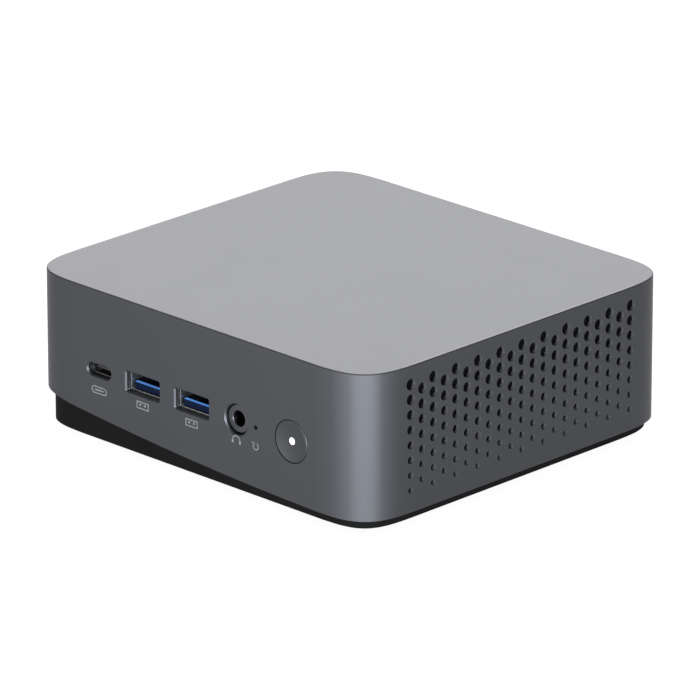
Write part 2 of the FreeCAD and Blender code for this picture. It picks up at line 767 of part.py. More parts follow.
# ---------------------------------------------------------------- base cover and its hardware
def make_base_cover():
    body = new_body("BaseCover")
    outline = sketch_on(body, "BaseOutline", "XY_Plane", "base_bottom")
    add_soft_outline(outline, "base_inset")
    pad(body, outline, "base_tall")
    round_edges(body, "base_round", level_at("base_bottom"))
    hollow = sketch_on(body, "BaseHollow", "XY_Plane", "base_bottom + base_floor")
    add_soft_outline(hollow, "base_inset + base_wall")
    pocket(body, hollow, "base_tall", reverse=True)
    lip = sketch_on(body, "BaseLip", "XZ_Plane")
    add_skirt_region(lip, "base_lip", "base_bottom + base_tall + past")
    pocket(body, lip, "2 * case_depth", both=True)

    def four(name, x, y, radius, height):
        """Sketch with the same circle at four places."""
        sketch = sketch_on(body, name, "XY_Plane", height)
        for place_x, place_y in corners(x, y):
            add_circle(sketch, place_x, place_y, radius)
        return sketch
    inside = "base_bottom + base_floor / 2"
    screws = ("post_x", "post_y")
    bracket = ("bracket_spacing / 2", "bracket_spacing / 2")
    boss = "bracket_hole_radius + bracket_boss_wall"
    pad(body, four("ScrewBosses", *screws, "boss_radius", inside), f"boss_top - ({inside})")
    pad(body, four("BracketBosses", *bracket, boss, inside), f"boss_top - ({inside})")
    for name, places, radius, depth in (
            ("ScrewSeats", screws, "screw_head_radius + screw_gap", "screw_seat - base_bottom"),
            ("ScrewHoles", screws, "screw_radius + screw_gap", "boss_top"),
            ("BracketHoles", bracket, "bracket_hole_radius", "bracket_hole_depth"),
            ("FootSeats", ("foot_x", "foot_y"), "foot_radius + foot_gap", "foot_sink")):
        pocket(body, four(name, *places, radius, "base_bottom"), depth, reverse=True)
    slot = sketch_on(body, "Inlet", "XY_Plane", "base_bottom")
    add_rounded(slot, "0", "-inlet_pitch * (inlet_count - 1) / 2", "inlet_length", "inlet_width",
                f"inlet_width / 2 - {ROUND_END}")
    hole = pocket(body, slot, "base_floor + past", reverse=True)
    row_of(body, hole, "Y_Axis", "inlet_pitch * (inlet_count - 1)", "inlet_count")
    return sub_part(body, "base_cover")


def make_feet():
    """Rubber feet set into the base, round at the floor."""
    feet = []
    for i, (x, y) in enumerate(corners("foot_x", "foot_y")):
        disc = rod(f"FootDisc{i}", (x, y, "0"), "foot_radius", "base_bottom + foot_sink")
        foot = doc.addObject("Part::Fillet", f"Foot{i}")
        foot.Base = disc
        doc.recompute()
        edges = disc.Shape.Edges
        floor_edge = min(range(len(edges)), key=lambda n: edges[n].BoundBox.ZMax)
        foot.Edges = [(floor_edge + 1, value("foot_round"), value("foot_round"))]
        feet.append(foot)
    return sub_part(group("Feet", feet), "rubber_feet")


def make_base_screws():
    """Cross-head screws from below, through the base cover into the spacers."""
    low = "(screw_seat - screw_head_height)"
    screws = []
    for i, (x, y) in enumerate(corners("post_x", "post_y")):
        head = rod(f"BaseHead{i}", (x, y, low), "screw_head_radius", "screw_head_height")
        shank = rod(f"BaseShank{i}", (x, y, "screw_seat - join"), "screw_radius", "screw_length")
        screw = fuse(f"BaseScrewBlank{i}", [head, shank])
        cross = [block(f"BaseCross{i}{n}", (x, y), f"{low} - join", (*size, "cross_depth + join"))
                 for n, size in enumerate((("cross_length", "cross_width"), ("cross_width", "cross_length")))]
        screws.append(cut(f"BaseScrew{i}", screw, cross))
    return sub_part(group("BaseScrews", screws), "base_screws")


def make_standoffs():
    """Spacers between the base cover and the board; a threaded stub goes on into the shell's post."""
    spacers = []
    for i, (x, y) in enumerate(corners("post_x", "post_y")):
        column = rod(f"Column{i}", (x, y, "boss_top"), "column_radius", f"{BOARD_LOW} - boss_top")
        stub = rod(f"Stub{i}", (x, y, f"{BOARD_LOW} - join"), "screw_radius", "board_thick + stub_length")
        bore = rod(f"ColumnBore{i}", (x, y, "boss_top - join"), "screw_radius + thread_gap", "screw_length")
        spacers.append(cut(f"Standoff{i}", fuse(f"StandoffBlank{i}", [column, stub]), [bore]))
    return sub_part(group("Standoffs", spacers), "board_standoffs")


# ---------------------------------------------------------------- sockets
def socket_sleeve(name, label, x, size, face, skin, facing):
    """Metal sleeve of a socket on the board, open at its face; size = (width, height, depth)."""
    width, height, depth = size
    middle = f"{face} - ({facing}) * ({depth}) / 2"
    outer = block(name + "Outer", (x, middle), BOARD_TOP, (width, depth, height))
    inner = block(name + "Inner", (x, f"({middle}) + ({facing}) * ({skin})"), f"{BOARD_TOP} + {skin}",
                  (f"({width}) - 2 * ({skin})", depth, f"({height}) - 2 * ({skin})"))
    return sub_part(cut(name, outer, [inner]), label)


def make_usb(name, label, x, face, facing):
    """A USB-A socket: a metal sleeve round an insulator with its tongue."""
    socket_sleeve(name, label + "_sleeve", x, ("usb_width", "usb_height", "usb_depth"), face, "usb_skin",
                  facing)
    tip = f"{face} - ({facing}) * usb_tongue_recess"
    tongue = block(name + "Tongue", (x, f"{tip} - ({facing}) * usb_tongue_length / 2"),
                   f"{BOARD_TOP} + usb_skin + usb_tongue_low",
                   ("usb_tongue_width", "usb_tongue_length", "usb_tongue_thick"))
    back_depth = "(usb_depth - usb_skin - usb_tongue_recess - usb_tongue_length)"
    back = block(name + "Back", (x, f"{tip} - ({facing}) * (usb_tongue_length + {back_depth} / 2)"),
                 f"{BOARD_TOP} + usb_skin",
                 ("usb_width - 2 * usb_skin", back_depth, "usb_height - 2 * usb_skin"))
    sub_part(fuse(name + "Insulator", [tongue, back]), label + "_tongue")


def make_type_c():
    """A Type-C socket: a round-ended sleeve on a riser, with a thin tongue."""
    body = new_body("TypeC")
    outline = sketch_on(body, "TypeCOutline", "XZ_Plane", "case_depth / 2 - port_recess")
    add_rounded(outline, "type_c_x", "port_height", "type_c_width", "type_c_height",
                f"type_c_height / 2 - {ROUND_END}")
    pad(body, outline, "type_c_depth", reverse=True)
    mouth = sketch_on(body, "TypeCMouth", "XZ_Plane", "case_depth / 2 - port_recess")
    add_rounded(mouth, "type_c_x", "port_height", "type_c_width - 2 * type_c_skin",
                "type_c_height - 2 * type_c_skin", f"type_c_height / 2 - type_c_skin - {ROUND_END}")
    pocket(body, mouth, "type_c_depth - type_c_back")
    sub_part(body, "usb_c_sleeve")
    tongue = block("TypeCTongue",
                   ("type_c_x", f"{PORT_FACE} + type_c_depth - type_c_back - type_c_tongue_length / 2"),
                   "port_height - type_c_tongue_thick / 2",
                   ("type_c_tongue_width", "type_c_tongue_length", "type_c_tongue_thick"))
    sub_part(tongue, "usb_c_tongue")
    riser = block("TypeCRiser", ("type_c_x", f"{PORT_FACE} + type_c_depth - riser_length / 2"), BOARD_TOP,
                  ("riser_width", "riser_length", f"port_height - type_c_height / 2 - {BOARD_TOP}"))
    sub_part(riser, "usb_c_riser")


def make_audio_jack():
    """Round jack: a barrel with a wide nose and a tapered mouth, in a moulded holder."""
    face = f"({FRONT} + audio_recess)"
    neck = f"({face} + audio_neck)"
    tube_length = "audio_length - audio_neck + join"
    nose = rod("JackNose", ("audio_x", face, "port_height"), "audio_barrel_radius", "audio_neck", "Y")
    tube = rod("JackTube", ("audio_x", f"{neck} - join", "port_height"), "audio_tube_radius", tube_length,
               "Y")
    bore = rod("JackBore", ("audio_x", f"{face} - join", "port_height"), "audio_bore_radius",
               "audio_length + 2 * join", "Y")
    mouth = doc.addObject("Part::Cone", "JackMouth")
    mouth.setExpression("Radius1", rule("audio_lead_radius"))
    mouth.setExpression("Radius2", rule("audio_bore_radius"))
    mouth.setExpression("Height", rule("audio_lead_depth"))
    mouth.Placement.Rotation = ALONG_Y
    for letter, place in zip("xyz", ("audio_x", face, "port_height")):
        mouth.setExpression("Placement.Base." + letter, rule(place))
    sub_part(cut("JackBarrel", fuse("JackBarrelBlank", [nose, tube]), [bore, mouth]), "audio_jack_barrel")
    holder = block("JackHolder", ("audio_x", f"{neck} + audio_holder_length / 2"), BOARD_TOP,
                   ("audio_holder_width", "audio_holder_length", "audio_holder_height"))
    hole = rod("JackHolderHole", ("audio_x", f"{neck} - join", "port_height"), "audio_tube_radius",
               tube_length, "Y")
    sub_part(cut("JackBody", holder, [hole]), "audio_jack_body")


def make_power_inlet():
    """Round power socket with a centre pin."""
    middle = f"{REAR_FACE} - power_inlet_nose - power_inlet_length / 2"
    holder = block("InletHolder", ("power_inlet_x", middle), BOARD_TOP,
                   ("power_inlet_width", "power_inlet_length", "power_inlet_height"))
    nose = rod("InletNose", ("power_inlet_x", f"{REAR_FACE} - power_inlet_nose - join", "power_inlet_z"),
               "power_inlet_radius", "power_inlet_nose + join", "Y")
    end = ("power_inlet_x", f"{REAR_FACE} - power_bore_depth", "power_inlet_z")
    bore = rod("InletBore", end, "power_bore_radius", "power_bore_depth + join", "Y")
    sub_part(cut("InletBody", fuse("InletBlank", [holder, nose]), [bore]), "power_inlet_body")
    sub_part(rod("InletPin", end, "power_pin_radius", "power_pin_length", "Y"), "power_inlet_pin")


def make_video(name, label, x):
    socket_sleeve(name, label + "_sleeve", x, ("video_width", "video_height", "video_depth"), REAR_FACE,
                  "video_skin", "1")
    length = "(video_depth - video_skin - video_tongue_recess)"
    tongue = block(name + "Tongue", (x, f"{REAR_FACE} - video_tongue_recess - {length} / 2"),
                   f"{BOARD_TOP} + video_height / 2 - video_tongue_thick / 2",
                   ("video_tongue_width", length, "video_tongue_thick"))
    sub_part(tongue, label + "_tongue")


def make_network():
    """Network socket with a latch groove under its mouth and contacts along its top."""
    outer = block("NetworkOuter", ("network_x", f"{REAR_FACE} - network_depth / 2"), BOARD_TOP,
                  ("network_width", "network_depth", "network_height"))
    middle = f"{REAR_FACE} - network_mouth_depth / 2"
    depth = "network_mouth_depth + 2 * join"
    mouth = block("NetworkMouth", ("network_x", middle), f"{BOARD_TOP} + network_mouth_rise",
                  ("network_mouth_width", depth, "network_mouth_height"))
    latch = block("NetworkLatch", ("network_x", middle), f"{BOARD_TOP} + latch_rise",
                  ("latch_width", depth, "network_mouth_rise - latch_rise + join"))
    sub_part(cut("NetworkJack", outer, [mouth, latch]), "network_jack")
    contact_low = f"{BOARD_TOP} + network_mouth_rise + network_mouth_height - contact_height"
    contacts = [block(f"NetworkContact{i}",
                      (f"network_x + ({i} - ({WIRES} - 1) / 2) * contact_pitch",
                       f"{REAR_FACE} - contact_recess - contact_length / 2"),
                      contact_low, ("contact_width", "contact_length", "contact_height"))
                for i in range(WIRES)]
    sub_part(group("NetworkContacts", contacts), "network_contacts")


# ---------------------------------------------------------------- button and switches
def make_power_button():
    """Round button with a dished face; a flange behind the wall keeps it in."""
    body = new_body("Button")
    back = "case_depth / 2 - front_land - button_slack - button_flange"
    for name, radius, offset, length in (
            ("ButtonFlange", "button_flange_radius", back, "button_flange"),
            ("ButtonCap", "button_radius", back, "button_flange + button_slack + front_land"),
            ("ButtonStem", "button_stem_radius", "case_depth / 2 - button_stem_end",
             "button_stem_end - front_land - button_slack")):
        sketch = sketch_on(body, name, "XZ_Plane", offset)
        add_circle(sketch, "button_x", "button_z", radius)
        pad(body, sketch, length)
    face_y = value(FRONT)
    round_edges(body, "button_round", lambda edge: abs(edge.BoundBox.YMax - face_y) < EXACT)
    hole = sketch_on(body, "LensHole", "XZ_Plane", "case_depth / 2")
    add_circle(hole, "button_x", "button_z", "lens_radius")
    body.Tip = pocket(body, hole, "button_dish + lens_depth")
    ball = doc.addObject("Part::Sphere", "DishBall")
    chord = "(button_radius - button_rim)"
    ball_radius = f"(({chord} * {chord} + button_dish * button_dish) / (2 * button_dish))"
    ball.setExpression("Radius", rule(ball_radius))
    for letter, place in zip("xyz", ("button_x", f"{FRONT} + button_dish - {ball_radius}", "button_z")):
        ball.setExpression("Placement.Base." + letter, rule(place))
    sub_part(cut("DishedButton", body, [ball]), "power_button")
    lens = rod("Lens", ("button_x", f"{FRONT} + button_dish - lens_proud", "button_z"), "lens_radius",
               "lens_depth + lens_proud", "Y")
    sub_part(lens, "power_led_lens")


def make_switch(name, label, x, z, front):
    """Board switch that is pushed from the front; its sizes are the dimensions that start with label."""
    size = {part: f"{label}_{part}" for part in ("width", "height", "depth", "plunger", "reach", "bore")}
    holder = block(name + "Holder", (x, f"{front} + {size['reach']} + {size['depth']} / 2"), BOARD_TOP,
                   (size["width"], size["depth"], size["height"]))
    hole = rod(name + "Hole", (x, f"{front} + {size['reach']} - join", z), f"{size['plunger']} + plunger_gap",
               f"{size['bore']} + join", "Y")
    sub_part(cut(name + "Body", holder, [hole]), label + "_body")
    plunger = rod(name + "Plunger", (x, front, z), size["plunger"],
                  f"{size['reach']} + {size['bore']} - plunger_space", "Y")
    sub_part(plunger, label + "_plunger")


# ---------------------------------------------------------------- mainboard
def make_board():
    body = new_body("Board")
    outline = sketch_on(body, "BoardOutline", "XY_Plane", BOARD_LOW)
    add_soft_outline(outline, "board_inset")
    for x, y in corners("post_x", "post_y"):
        add_circle(outline, x, y, "screw_radius + board_hole_gap")
    pad(body, outline, "board_thick")
    return sub_part(body, "mainboard")


def make_chip():
    package = block("Chip", ("0", "0"), BOARD_TOP, ("chip_width", "chip_depth", "chip_thick"))
    sub_part(package, "processor_package")
    die = block("Die", ("0", "0"), f"{BOARD_TOP} + chip_thick", ("die_width", "die_depth", "die_thick"))
    sub_part(die, "processor_die")


def make_heatsink():
    """Finned heatsink that stands on four legs; four posts carry the fan."""
    body = new_body("Heatsink")
    plate = sketch_on(body, "SinkPlate", "XY_Plane", SINK_LOW)
    add_rectangle(plate, "0", "0", "sink_width", "sink_depth")
    pad(body, plate, "sink_base")
    fin = sketch_on(body, "SinkFin", "XY_Plane", f"{FIN_LOW} - sink_root")
    add_rectangle(fin, "-fin_pitch * (fin_count - 1) / 2", "0", "fin_thick", "sink_depth")
    first = pad(body, fin, "fin_height + sink_root")
    row_of(body, first, "X_Axis", "fin_pitch * (fin_count - 1)", "fin_count")
    posts = sketch_on(body, "SinkPosts", "XY_Plane", f"{FIN_LOW} - sink_root")
    legs = sketch_on(body, "SinkLegs", "XY_Plane", BOARD_TOP)
    drills = sketch_on(body, "SinkDrills", "XY_Plane", FAN_LOW)
    for x, y in corners("fan_hole_offset", "fan_hole_offset"):
        add_circle(posts, x, y, "sink_post_radius")
        add_circle(drills, x, y, "screw_radius + thread_gap")
    for x, y in corners("sink_width / 2 - sink_leg_inset", "sink_depth / 2 - sink_leg_inset"):
        add_circle(legs, x, y, "sink_leg_radius")
    pad(body, posts, f"{FAN_LOW} - {FIN_LOW} + sink_root")
    pad(body, legs, "chip_thick + die_thick + sink_leg_root")
    pocket(body, drills, "sink_drill_depth")
    sub_part(body, "heatsink")


def make_fan():
    """Fan frame on the heatsink, with its spindle, its screws and the turning impeller."""
    frame = block("FanFrame", ("0", "0"), FAN_LOW, ("fan_size", "fan_size", "fan_height"))
    bore = rod("FanBore", ("0", "0", f"{FAN_LOW} - join"), "fan_bore_radius", "fan_height + 2 * join")
    screw_places = corners("fan_hole_offset", "fan_hole_offset")
    holes = [rod(f"FanHole{i}", (x, y, f"{FAN_LOW} - join"), "screw_radius + screw_gap",
                 "fan_height + 2 * join")
             for i, (x, y) in enumerate(screw_places)]
    seat = rod("FanSeat", ("0", "0", FAN_LOW), "fan_seat_radius", "fan_seat_height")
    strut_size = ("fan_bore_radius - fan_seat_radius + strut_root + strut_end", "strut_width",
                  "fan_seat_height")
    struts = [spoke(f"FanStrut{i}", 360 / STRUTS * i, "fan_seat_radius - strut_root",
                    f"{FAN_LOW} + fan_seat_height / 2", strut_size) for i in range(STRUTS)]
    shell = cut("FanShell", frame, [bore] + holes)
    sub_part(fuse("Fan", [shell, seat] + struts), "fan_frame")
    spindle = rod("Spindle", ("0", "0", f"{FAN_LOW} + fan_seat_height"), "spindle_radius",
                  "hub_height - blade_root")
    sub_part(spindle, "fan_spindle")

    hub_low = f"({FAN_LOW} + hub_low)"
    hub = rod("Hub", ("0", "0", hub_low), "hub_radius", "hub_height")
    blade_size = ("blade_reach - hub_radius + blade_root", "blade_chord", "blade_thick")
    blades = [spoke(f"Blade{i}", 360 / BLADES * i, "hub_radius - blade_root", f"{hub_low} + hub_height / 2",
                    blade_size, BLADE_TILT) for i in range(BLADES)]
    bearing = rod("Bearing", ("0", "0", f"{hub_low} - join"), "spindle_radius + spindle_gap",
                  "hub_height - hub_cap + join")
    sub_part(cut("Impeller", fuse("ImpellerBlank", [hub] + blades), [bearing]), "fan_impeller")

    screws = []
    for i, (x, y) in enumerate(screw_places):
        head = rod(f"FanHead{i}", (x, y, f"{FAN_LOW} + fan_height"), "screw_head_radius", "fan_screw_head")
        shank = rod(f"FanShank{i}", (x, y, f"{FAN_LOW} - fan_screw_grip"), "screw_radius",
                    "fan_height + fan_screw_grip + join")
        screws.append(fuse(f"FanScrew{i}", [head, shank]))
    sub_part(group("FanScrews", screws), "fan_screws")


def make_memory():
    """Two memory modules in stacked sockets under the board."""
    for i, label in enumerate(("upper", "lower")):
        height = f"({BOARD_LOW} - memory_drop - {i} * memory_step - memory_thick)"
        socket_x = f"(memory_socket_x + {i} * memory_socket_step)"
        card_x = f"({socket_x} - memory_depth / 2 - (memory_socket_depth / 2 - memory_slit_reach))"
        card = block(f"Memory{i}", (card_x, "0"), height, ("memory_depth", "memory_length", "memory_thick"))
        sub_part(card, f"memory_{label}_module")
        holder = block(f"MemorySocket{i}", (socket_x, "0"), f"{height} - memory_socket_base",
                       ("memory_socket_depth", "memory_length + 2 * memory_socket_end",
                        f"{BOARD_LOW} - {height} + memory_socket_base"))
        slit = block(f"MemorySlit{i}", (f"{socket_x} - memory_socket_depth / 2", "0"), height,
                     ("2 * memory_slit_reach", "memory_length + join", "memory_thick + card_slit_gap"))
        sub_part(cut(f"MemoryHolder{i}", holder, [slit]), f"memory_{label}_socket")
        chips = [block(f"MemoryChip{i}{n}",
                       (f"{card_x} - memory_chip_offset",
                        f"({n} - ({MEMORY_CHIPS} - 1) / 2) * memory_chip_pitch"),
                       f"{height} - memory_chip_thick",
                       ("memory_chip_width", "memory_chip_length", "memory_chip_thick"))
                 for n in range(MEMORY_CHIPS)]
        sub_part(group(f"MemoryChips{i}", chips), f"memory_{label}_chips")


def make_card(name, label, chip_lengths):
    """A plug-in card under the board, its socket and its chips; it runs back from its start."""
    x, start, length = (f"{label}_{part}" for part in ("x", "start", "length"))
    card = block(name + "Card", (x, f"{start} + {length} / 2"), CARD_LOW,
                 ("card_width", length, "card_thick"))
    sub_part(card, label + "_card")
    holder = block(name + "Socket", (x, f"{start} - card_socket_front + card_socket_length / 2"),
                   f"{CARD_LOW} - card_socket_base",
                   ("card_socket_width", "card_socket_length", "card_drop + card_thick + card_socket_base"))
    slit = block(name + "Slit", (x, f"{start} + card_socket_length / 2"), CARD_LOW,
                 ("card_width + join", "card_socket_length", "card_thick + card_slit_gap"))
    sub_part(cut(name + "Holder", holder, [slit]), label + "_socket")
    chips = []
    place = f"{start} + card_chip_start"
    for i, chip_length in enumerate(chip_lengths):
        chips.append(block(f"{name}Chip{i}", (x, f"{place} + {chip_length} / 2"),
                           f"{CARD_LOW} - card_chip_thick",
                           ("card_chip_width", str(chip_length), "card_chip_thick")))
        place = f"{place} + {chip_length} + card_chip_space"
    sub_part(group(name + "Chips", chips), label + "_chips")


def make_card_fixings():
    """Spacer and screw at the free end of each plug-in card."""
    spacers = []
    screws = []
    for i, label in enumerate(("drive", "radio")):
        x, y = f"{label}_x", f"{label}_start + {label}_length"
        spacers.append(rod(f"CardSpacer{i}", (x, y, f"{CARD_LOW} + card_thick"), "card_spacer_radius",
                           "card_drop"))
        screws.append(rod(f"CardHead{i}", (x, y, f"{CARD_LOW} - card_screw_height"), "card_screw_radius",
                          "card_screw_height"))
    sub_part(group("CardSpacers", spacers), "card_spacers")
    sub_part(group("CardScrews", screws), "card_screws")


def make_board_parts():
    """Small parts on the board: coils and capacitors above it, the clock battery below it."""
    coils = [block(f"Coil{i}", (f"coil_x + {i} * small_pitch", "coil_y"), BOARD_TOP,
                   ("coil_size", "coil_size", "coil_height")) for i in range(SMALL_PARTS)]
    sub_part(group("Coils", coils), "power_coils")
    cans = [rod(f"Can{i}", ("can_x", f"can_y + {i} * small_pitch", BOARD_TOP), "can_radius", "can_height")
            for i in range(SMALL_PARTS)]
    sub_part(group("Cans", cans), "capacitors")
    low = f"({BOARD_LOW} - cell_cup_height)"
    cup = rod("CellCup", ("cell_x", "cell_y", low), "cell_cup_radius", "cell_cup_height")
    well = rod("CellWell", ("cell_x", "cell_y", f"{low} - join"), "cell_radius + cell_gap",
               "cell_well_depth + join")
    sub_part(cut("CellHolder", cup, [well]), "battery_holder")
    cell = rod("Cell", ("cell_x", "cell_y", f"{low} + cell_well_depth - cell_thick"), "cell_radius",
               "cell_thick")
    sub_part(cell, "clock_battery")


def make_antennas():
    """Two antenna strips on the inner left wall of the base cover."""
    wall_x = "(-case_width / 2 + base_inset + base_wall)"
    strips = [block(f"Antenna{i}", (f"{wall_x} + antenna_thick / 2", f"{side} * antenna_y"),
                    "base_bottom + base_floor + antenna_lift",
                    ("antenna_thick", "antenna_length", "antenna_height")) for i, side in enumerate((-1, 1))]
    sub_part(group("Antennas", strips), "antenna_strips")


# ---------------------------------------------------------------- assembly
make_top_shell()
make_dust_screens()
make_base_cover()
make_feet()
make_base_screws()
make_standoffs()
make_board()
for number, place_x in enumerate(("usb_first_x", "usb_second_x"), start=1):
    make_usb(f"FrontUsb{number}", f"front_usb_{number}", place_x, PORT_FACE, "-1")
for number, place_x in enumerate(("rear_usb_first_x", "rear_usb_second_x"), start=1):
    make_usb(f"RearUsb{number}", f"rear_usb_{number}", place_x, REAR_FACE, "1")
make_type_c()
make_audio_jack()
make_power_inlet()
for number, place_x in enumerate(("video_first_x", "video_second_x"), start=1):
    make_video(f"Video{number}", f"video_{number}", place_x)
make_network()
make_power_button()
make_switch("PowerSwitch", "power_switch", "button_x", "button_z",
            f"({FRONT} + button_stem_end + button_slack)")
make_switch("ResetSwitch", "reset_switch", "reset_x", "reset_z", f"({FRONT} + reset_switch_front)")
make_chip()
make_heatsink()
make_fan()
make_memory()
make_card("Drive", "drive", DRIVE_CHIPS)
make_card("Radio", "radio", RADIO_CHIPS)
make_card_fixings()
make_board_parts()
make_antennas()
doc.recompute()

for item in doc.Objects:
    if "Invalid" in item.State or "Error" in item.State:
        raise RuntimeError(f"{item.Name} did not build: {item.State}")
os.makedirs("parts", exist_ok=True)
for item in sub_parts:
    if item.Shape.isNull() or not item.Shape.isValid() or not item.Shape.Solids:
        raise RuntimeError(item.Label + " is not a valid solid")
    item.Shape.exportStep(f"parts/{item.Label}.step")
print(len(sub_parts), "sub-parts written")
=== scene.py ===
import math

import bmesh
import bpy
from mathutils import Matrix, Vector


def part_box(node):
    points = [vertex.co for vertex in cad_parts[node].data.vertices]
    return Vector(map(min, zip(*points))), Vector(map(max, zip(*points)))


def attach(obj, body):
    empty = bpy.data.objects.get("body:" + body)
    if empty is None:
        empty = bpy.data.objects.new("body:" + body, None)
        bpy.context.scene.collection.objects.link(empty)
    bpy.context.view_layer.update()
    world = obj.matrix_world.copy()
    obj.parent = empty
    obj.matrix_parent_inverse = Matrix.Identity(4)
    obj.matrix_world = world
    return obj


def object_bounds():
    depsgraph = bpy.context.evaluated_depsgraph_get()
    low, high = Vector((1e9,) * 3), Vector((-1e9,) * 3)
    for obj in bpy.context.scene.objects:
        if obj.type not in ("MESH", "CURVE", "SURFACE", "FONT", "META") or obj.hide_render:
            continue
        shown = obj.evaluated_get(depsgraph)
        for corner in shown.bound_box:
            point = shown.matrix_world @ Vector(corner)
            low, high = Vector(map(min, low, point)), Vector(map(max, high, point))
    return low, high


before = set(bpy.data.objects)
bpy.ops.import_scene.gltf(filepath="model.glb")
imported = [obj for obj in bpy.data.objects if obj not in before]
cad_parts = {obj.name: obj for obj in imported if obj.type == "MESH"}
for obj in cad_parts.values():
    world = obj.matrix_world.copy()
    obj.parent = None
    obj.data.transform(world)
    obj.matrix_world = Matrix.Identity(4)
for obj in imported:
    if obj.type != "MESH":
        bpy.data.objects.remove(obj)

MM = 0.001                       # lengths are in metres, unless a comment says otherwise
CAD_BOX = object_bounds()
FRONT_Y = CAD_BOX[0][1]

# ---------------------------------------------------------------- camera
AZIMUTH = 44.48
ELEVATION = 20.25
DISTANCE = 2.180
LENS = 390.2
AIM_HEIGHT = 24.75 * MM          # middle of the body above the floor
AIM_UP = -1.40 * MM              # framing: the body sits a little above the middle of the frame
AIM_RIGHT = 0.10 * MM

# ---------------------------------------------------------------- light, world and floor
WORLD_STRENGTH = 0.4
FLOOR_GLOW = 0.95                # the floor glows a little, so that it reads as a clean white sweep
FLOOR_ALBEDO = (0.12, 0.12, 0.12)
FLOOR_HALF = 6.0                 # half the floor's side, in metres
FLOOR_HEIGHT = -0.02 * MM        # just clear of the feet
# name, azimuth, elevation, distance, (width, height), power, colour; the three low ones are strips
# that stay under the level of the top, so that they light the walls and never glare on the top
SOFTBOXES = (
    ("BackLight", AZIMUTH + 180, 35, 1.5, (1.6, 1.2), 33.5, (1.0, 0.995, 1.0)),
    ("CameraLight", AZIMUTH + 0.5, 0, 1.0, (1.6, 0.036), 41.0, (0.93, 0.97, 1.0)),
    ("LeftFill", AZIMUTH - 52, 0, 1.0, (0.6, 0.036), 5.2, (1.0, 1.0, 1.0)),
    ("RightFill", AZIMUTH + 55, 0, 1.0, (0.6, 0.036), 1.2, (1.0, 1.0, 1.0)),
)

# ---------------------------------------------------------------- looks
BLACK = (0.0, 0.0, 0.0)
WHITE = (1.0, 1.0, 1.0)
SHELL_GREY = (0.0485, 0.0498, 0.0548)
SHELL_ROUGH = 0.48
DRILLED_GREY = (0.036, 0.0365, 0.0385)
VENT_REACH = 47.4 * MM           # the vents lie within this far of the middle, front to back
VENT_WALL = 1.0 * MM             # the wall that the vents go through
# the arcs of each corner of the shell in plan, as it is designed: radius in millimetres and turn
# in degrees
CORNER_ARCS = ((83.0, 4.8), (22.7, 14.6), (11.0, 51.2), (22.7, 14.6), (83.0, 4.8))
JACK_MOUTH = 2.3 * MM            # painted shade: the jack is painted black within this far of its axis
JACK_PAINTED_SHADE = (0.0004, 0.0004, 0.0004)
BASE_BLACK = (0.0030, 0.0030, 0.0030)
BASE_SHEEN = 0.02
USB_BLUE = (0.10, 0.30, 0.80)
# painted shade: the tongue is painted navy wherever the painted highlight is not
USB_PAINTED_SHADE = (0.0008, 0.003, 0.012)
USB_HIGHLIGHT_DEPTH = 1.1 * MM             # the painted highlight along the top of the tongue's front edge is this deep
# the painted highlight also glows with this strength
USB_PAINTED_GLOW = 0.55
MESH_BLACK = (0.0014, 0.0014, 0.0015)
BOARD_GREEN = (0.012, 0.075, 0.028)
PACKAGE_GREEN = (0.02, 0.11, 0.035)
PLATED_GOLD = (0.75, 0.6, 0.28)
DIE_BLUE = (0.13, 0.15, 0.22)
DIE_PALE = (0.20, 0.22, 0.30)
CAN_GREY = (0.62, 0.63, 0.65)
CAN_BLACK = (0.01, 0.01, 0.012)
CAN_STRIPE = 1.7 * MM            # the cans' black stripe starts at their left and is this wide
CAN_CAP = 0.3 * MM               # it is on the top, this far down the side
CAN_FOOT = 0.9 * MM              # height of the cans' black foot
CELL_GREY = (0.66, 0.65, 0.62)
LENS_GLOW = 3.0
LENS_CORE = 0.5 * MM             # the lens is brightest within this far of its middle
LENS_EDGE = 1.0 * MM             # and dimmest from here outwards
FILM_BLACK = (0.01, 0.011, 0.013)
TRACK_COPPER = (0.55, 0.3, 0.14)
INK = (0.090, 0.0907, 0.0940)
INK_THICK = 0.02 * MM            # the print stands this far out of the front face

# ---------------------------------------------------------------- printed marks, in millimetres
MARK_HEIGHT = 17.6               # above the floor, the line of marks under the sockets
MARK_LINE = 0.32                 # width of the marks' strokes


def direction(azimuth, elevation):
    """Unit vector from the object towards a viewer; azimuth 0 is the front (-Y), 90 the right (+X)."""
    a, e = math.radians(azimuth), math.radians(elevation)
    return Vector((math.sin(a) * math.cos(e), -math.cos(a) * math.cos(e), math.sin(e)))


def add_camera():
    back = direction(AZIMUTH, ELEVATION)
    right = Vector((0, 0, 1)).cross(back).normalized()
    up = back.cross(right)
    aim = Vector((0, 0, AIM_HEIGHT)) + up * AIM_UP + right * AIM_RIGHT
    data = bpy.data.cameras.new("Camera")
    data.lens = LENS
    data.sensor_width = 36.0
    data.clip_start = 0.1
    data.clip_end = 50.0
    camera = bpy.data.objects.new("Camera", data)
    camera.location = aim + back * DISTANCE
    camera.rotation_mode = "QUATERNION"
    camera.rotation_quaternion = (-back).to_track_quat("-Z", "Y")
    bpy.context.scene.collection.objects.link(camera)
    bpy.context.scene.camera = camera


def add_softbox(name, azimuth, elevation, distance, size, power, color):
    """Oblong area light that faces the object."""
    data = bpy.data.lights.new(name, "AREA")
    data.shape = "RECTANGLE"
    data.size, data.size_y = size
    data.energy = power
    data.color = color
    light = bpy.data.objects.new(name, data)
    towards = direction(azimuth, elevation)
    light.location = Vector((0, 0, AIM_HEIGHT)) + towards * distance
    light.rotation_mode = "QUATERNION"
    light.rotation_quaternion = towards.to_track_quat("Z", "Y")
    bpy.context.scene.collection.objects.link(light)


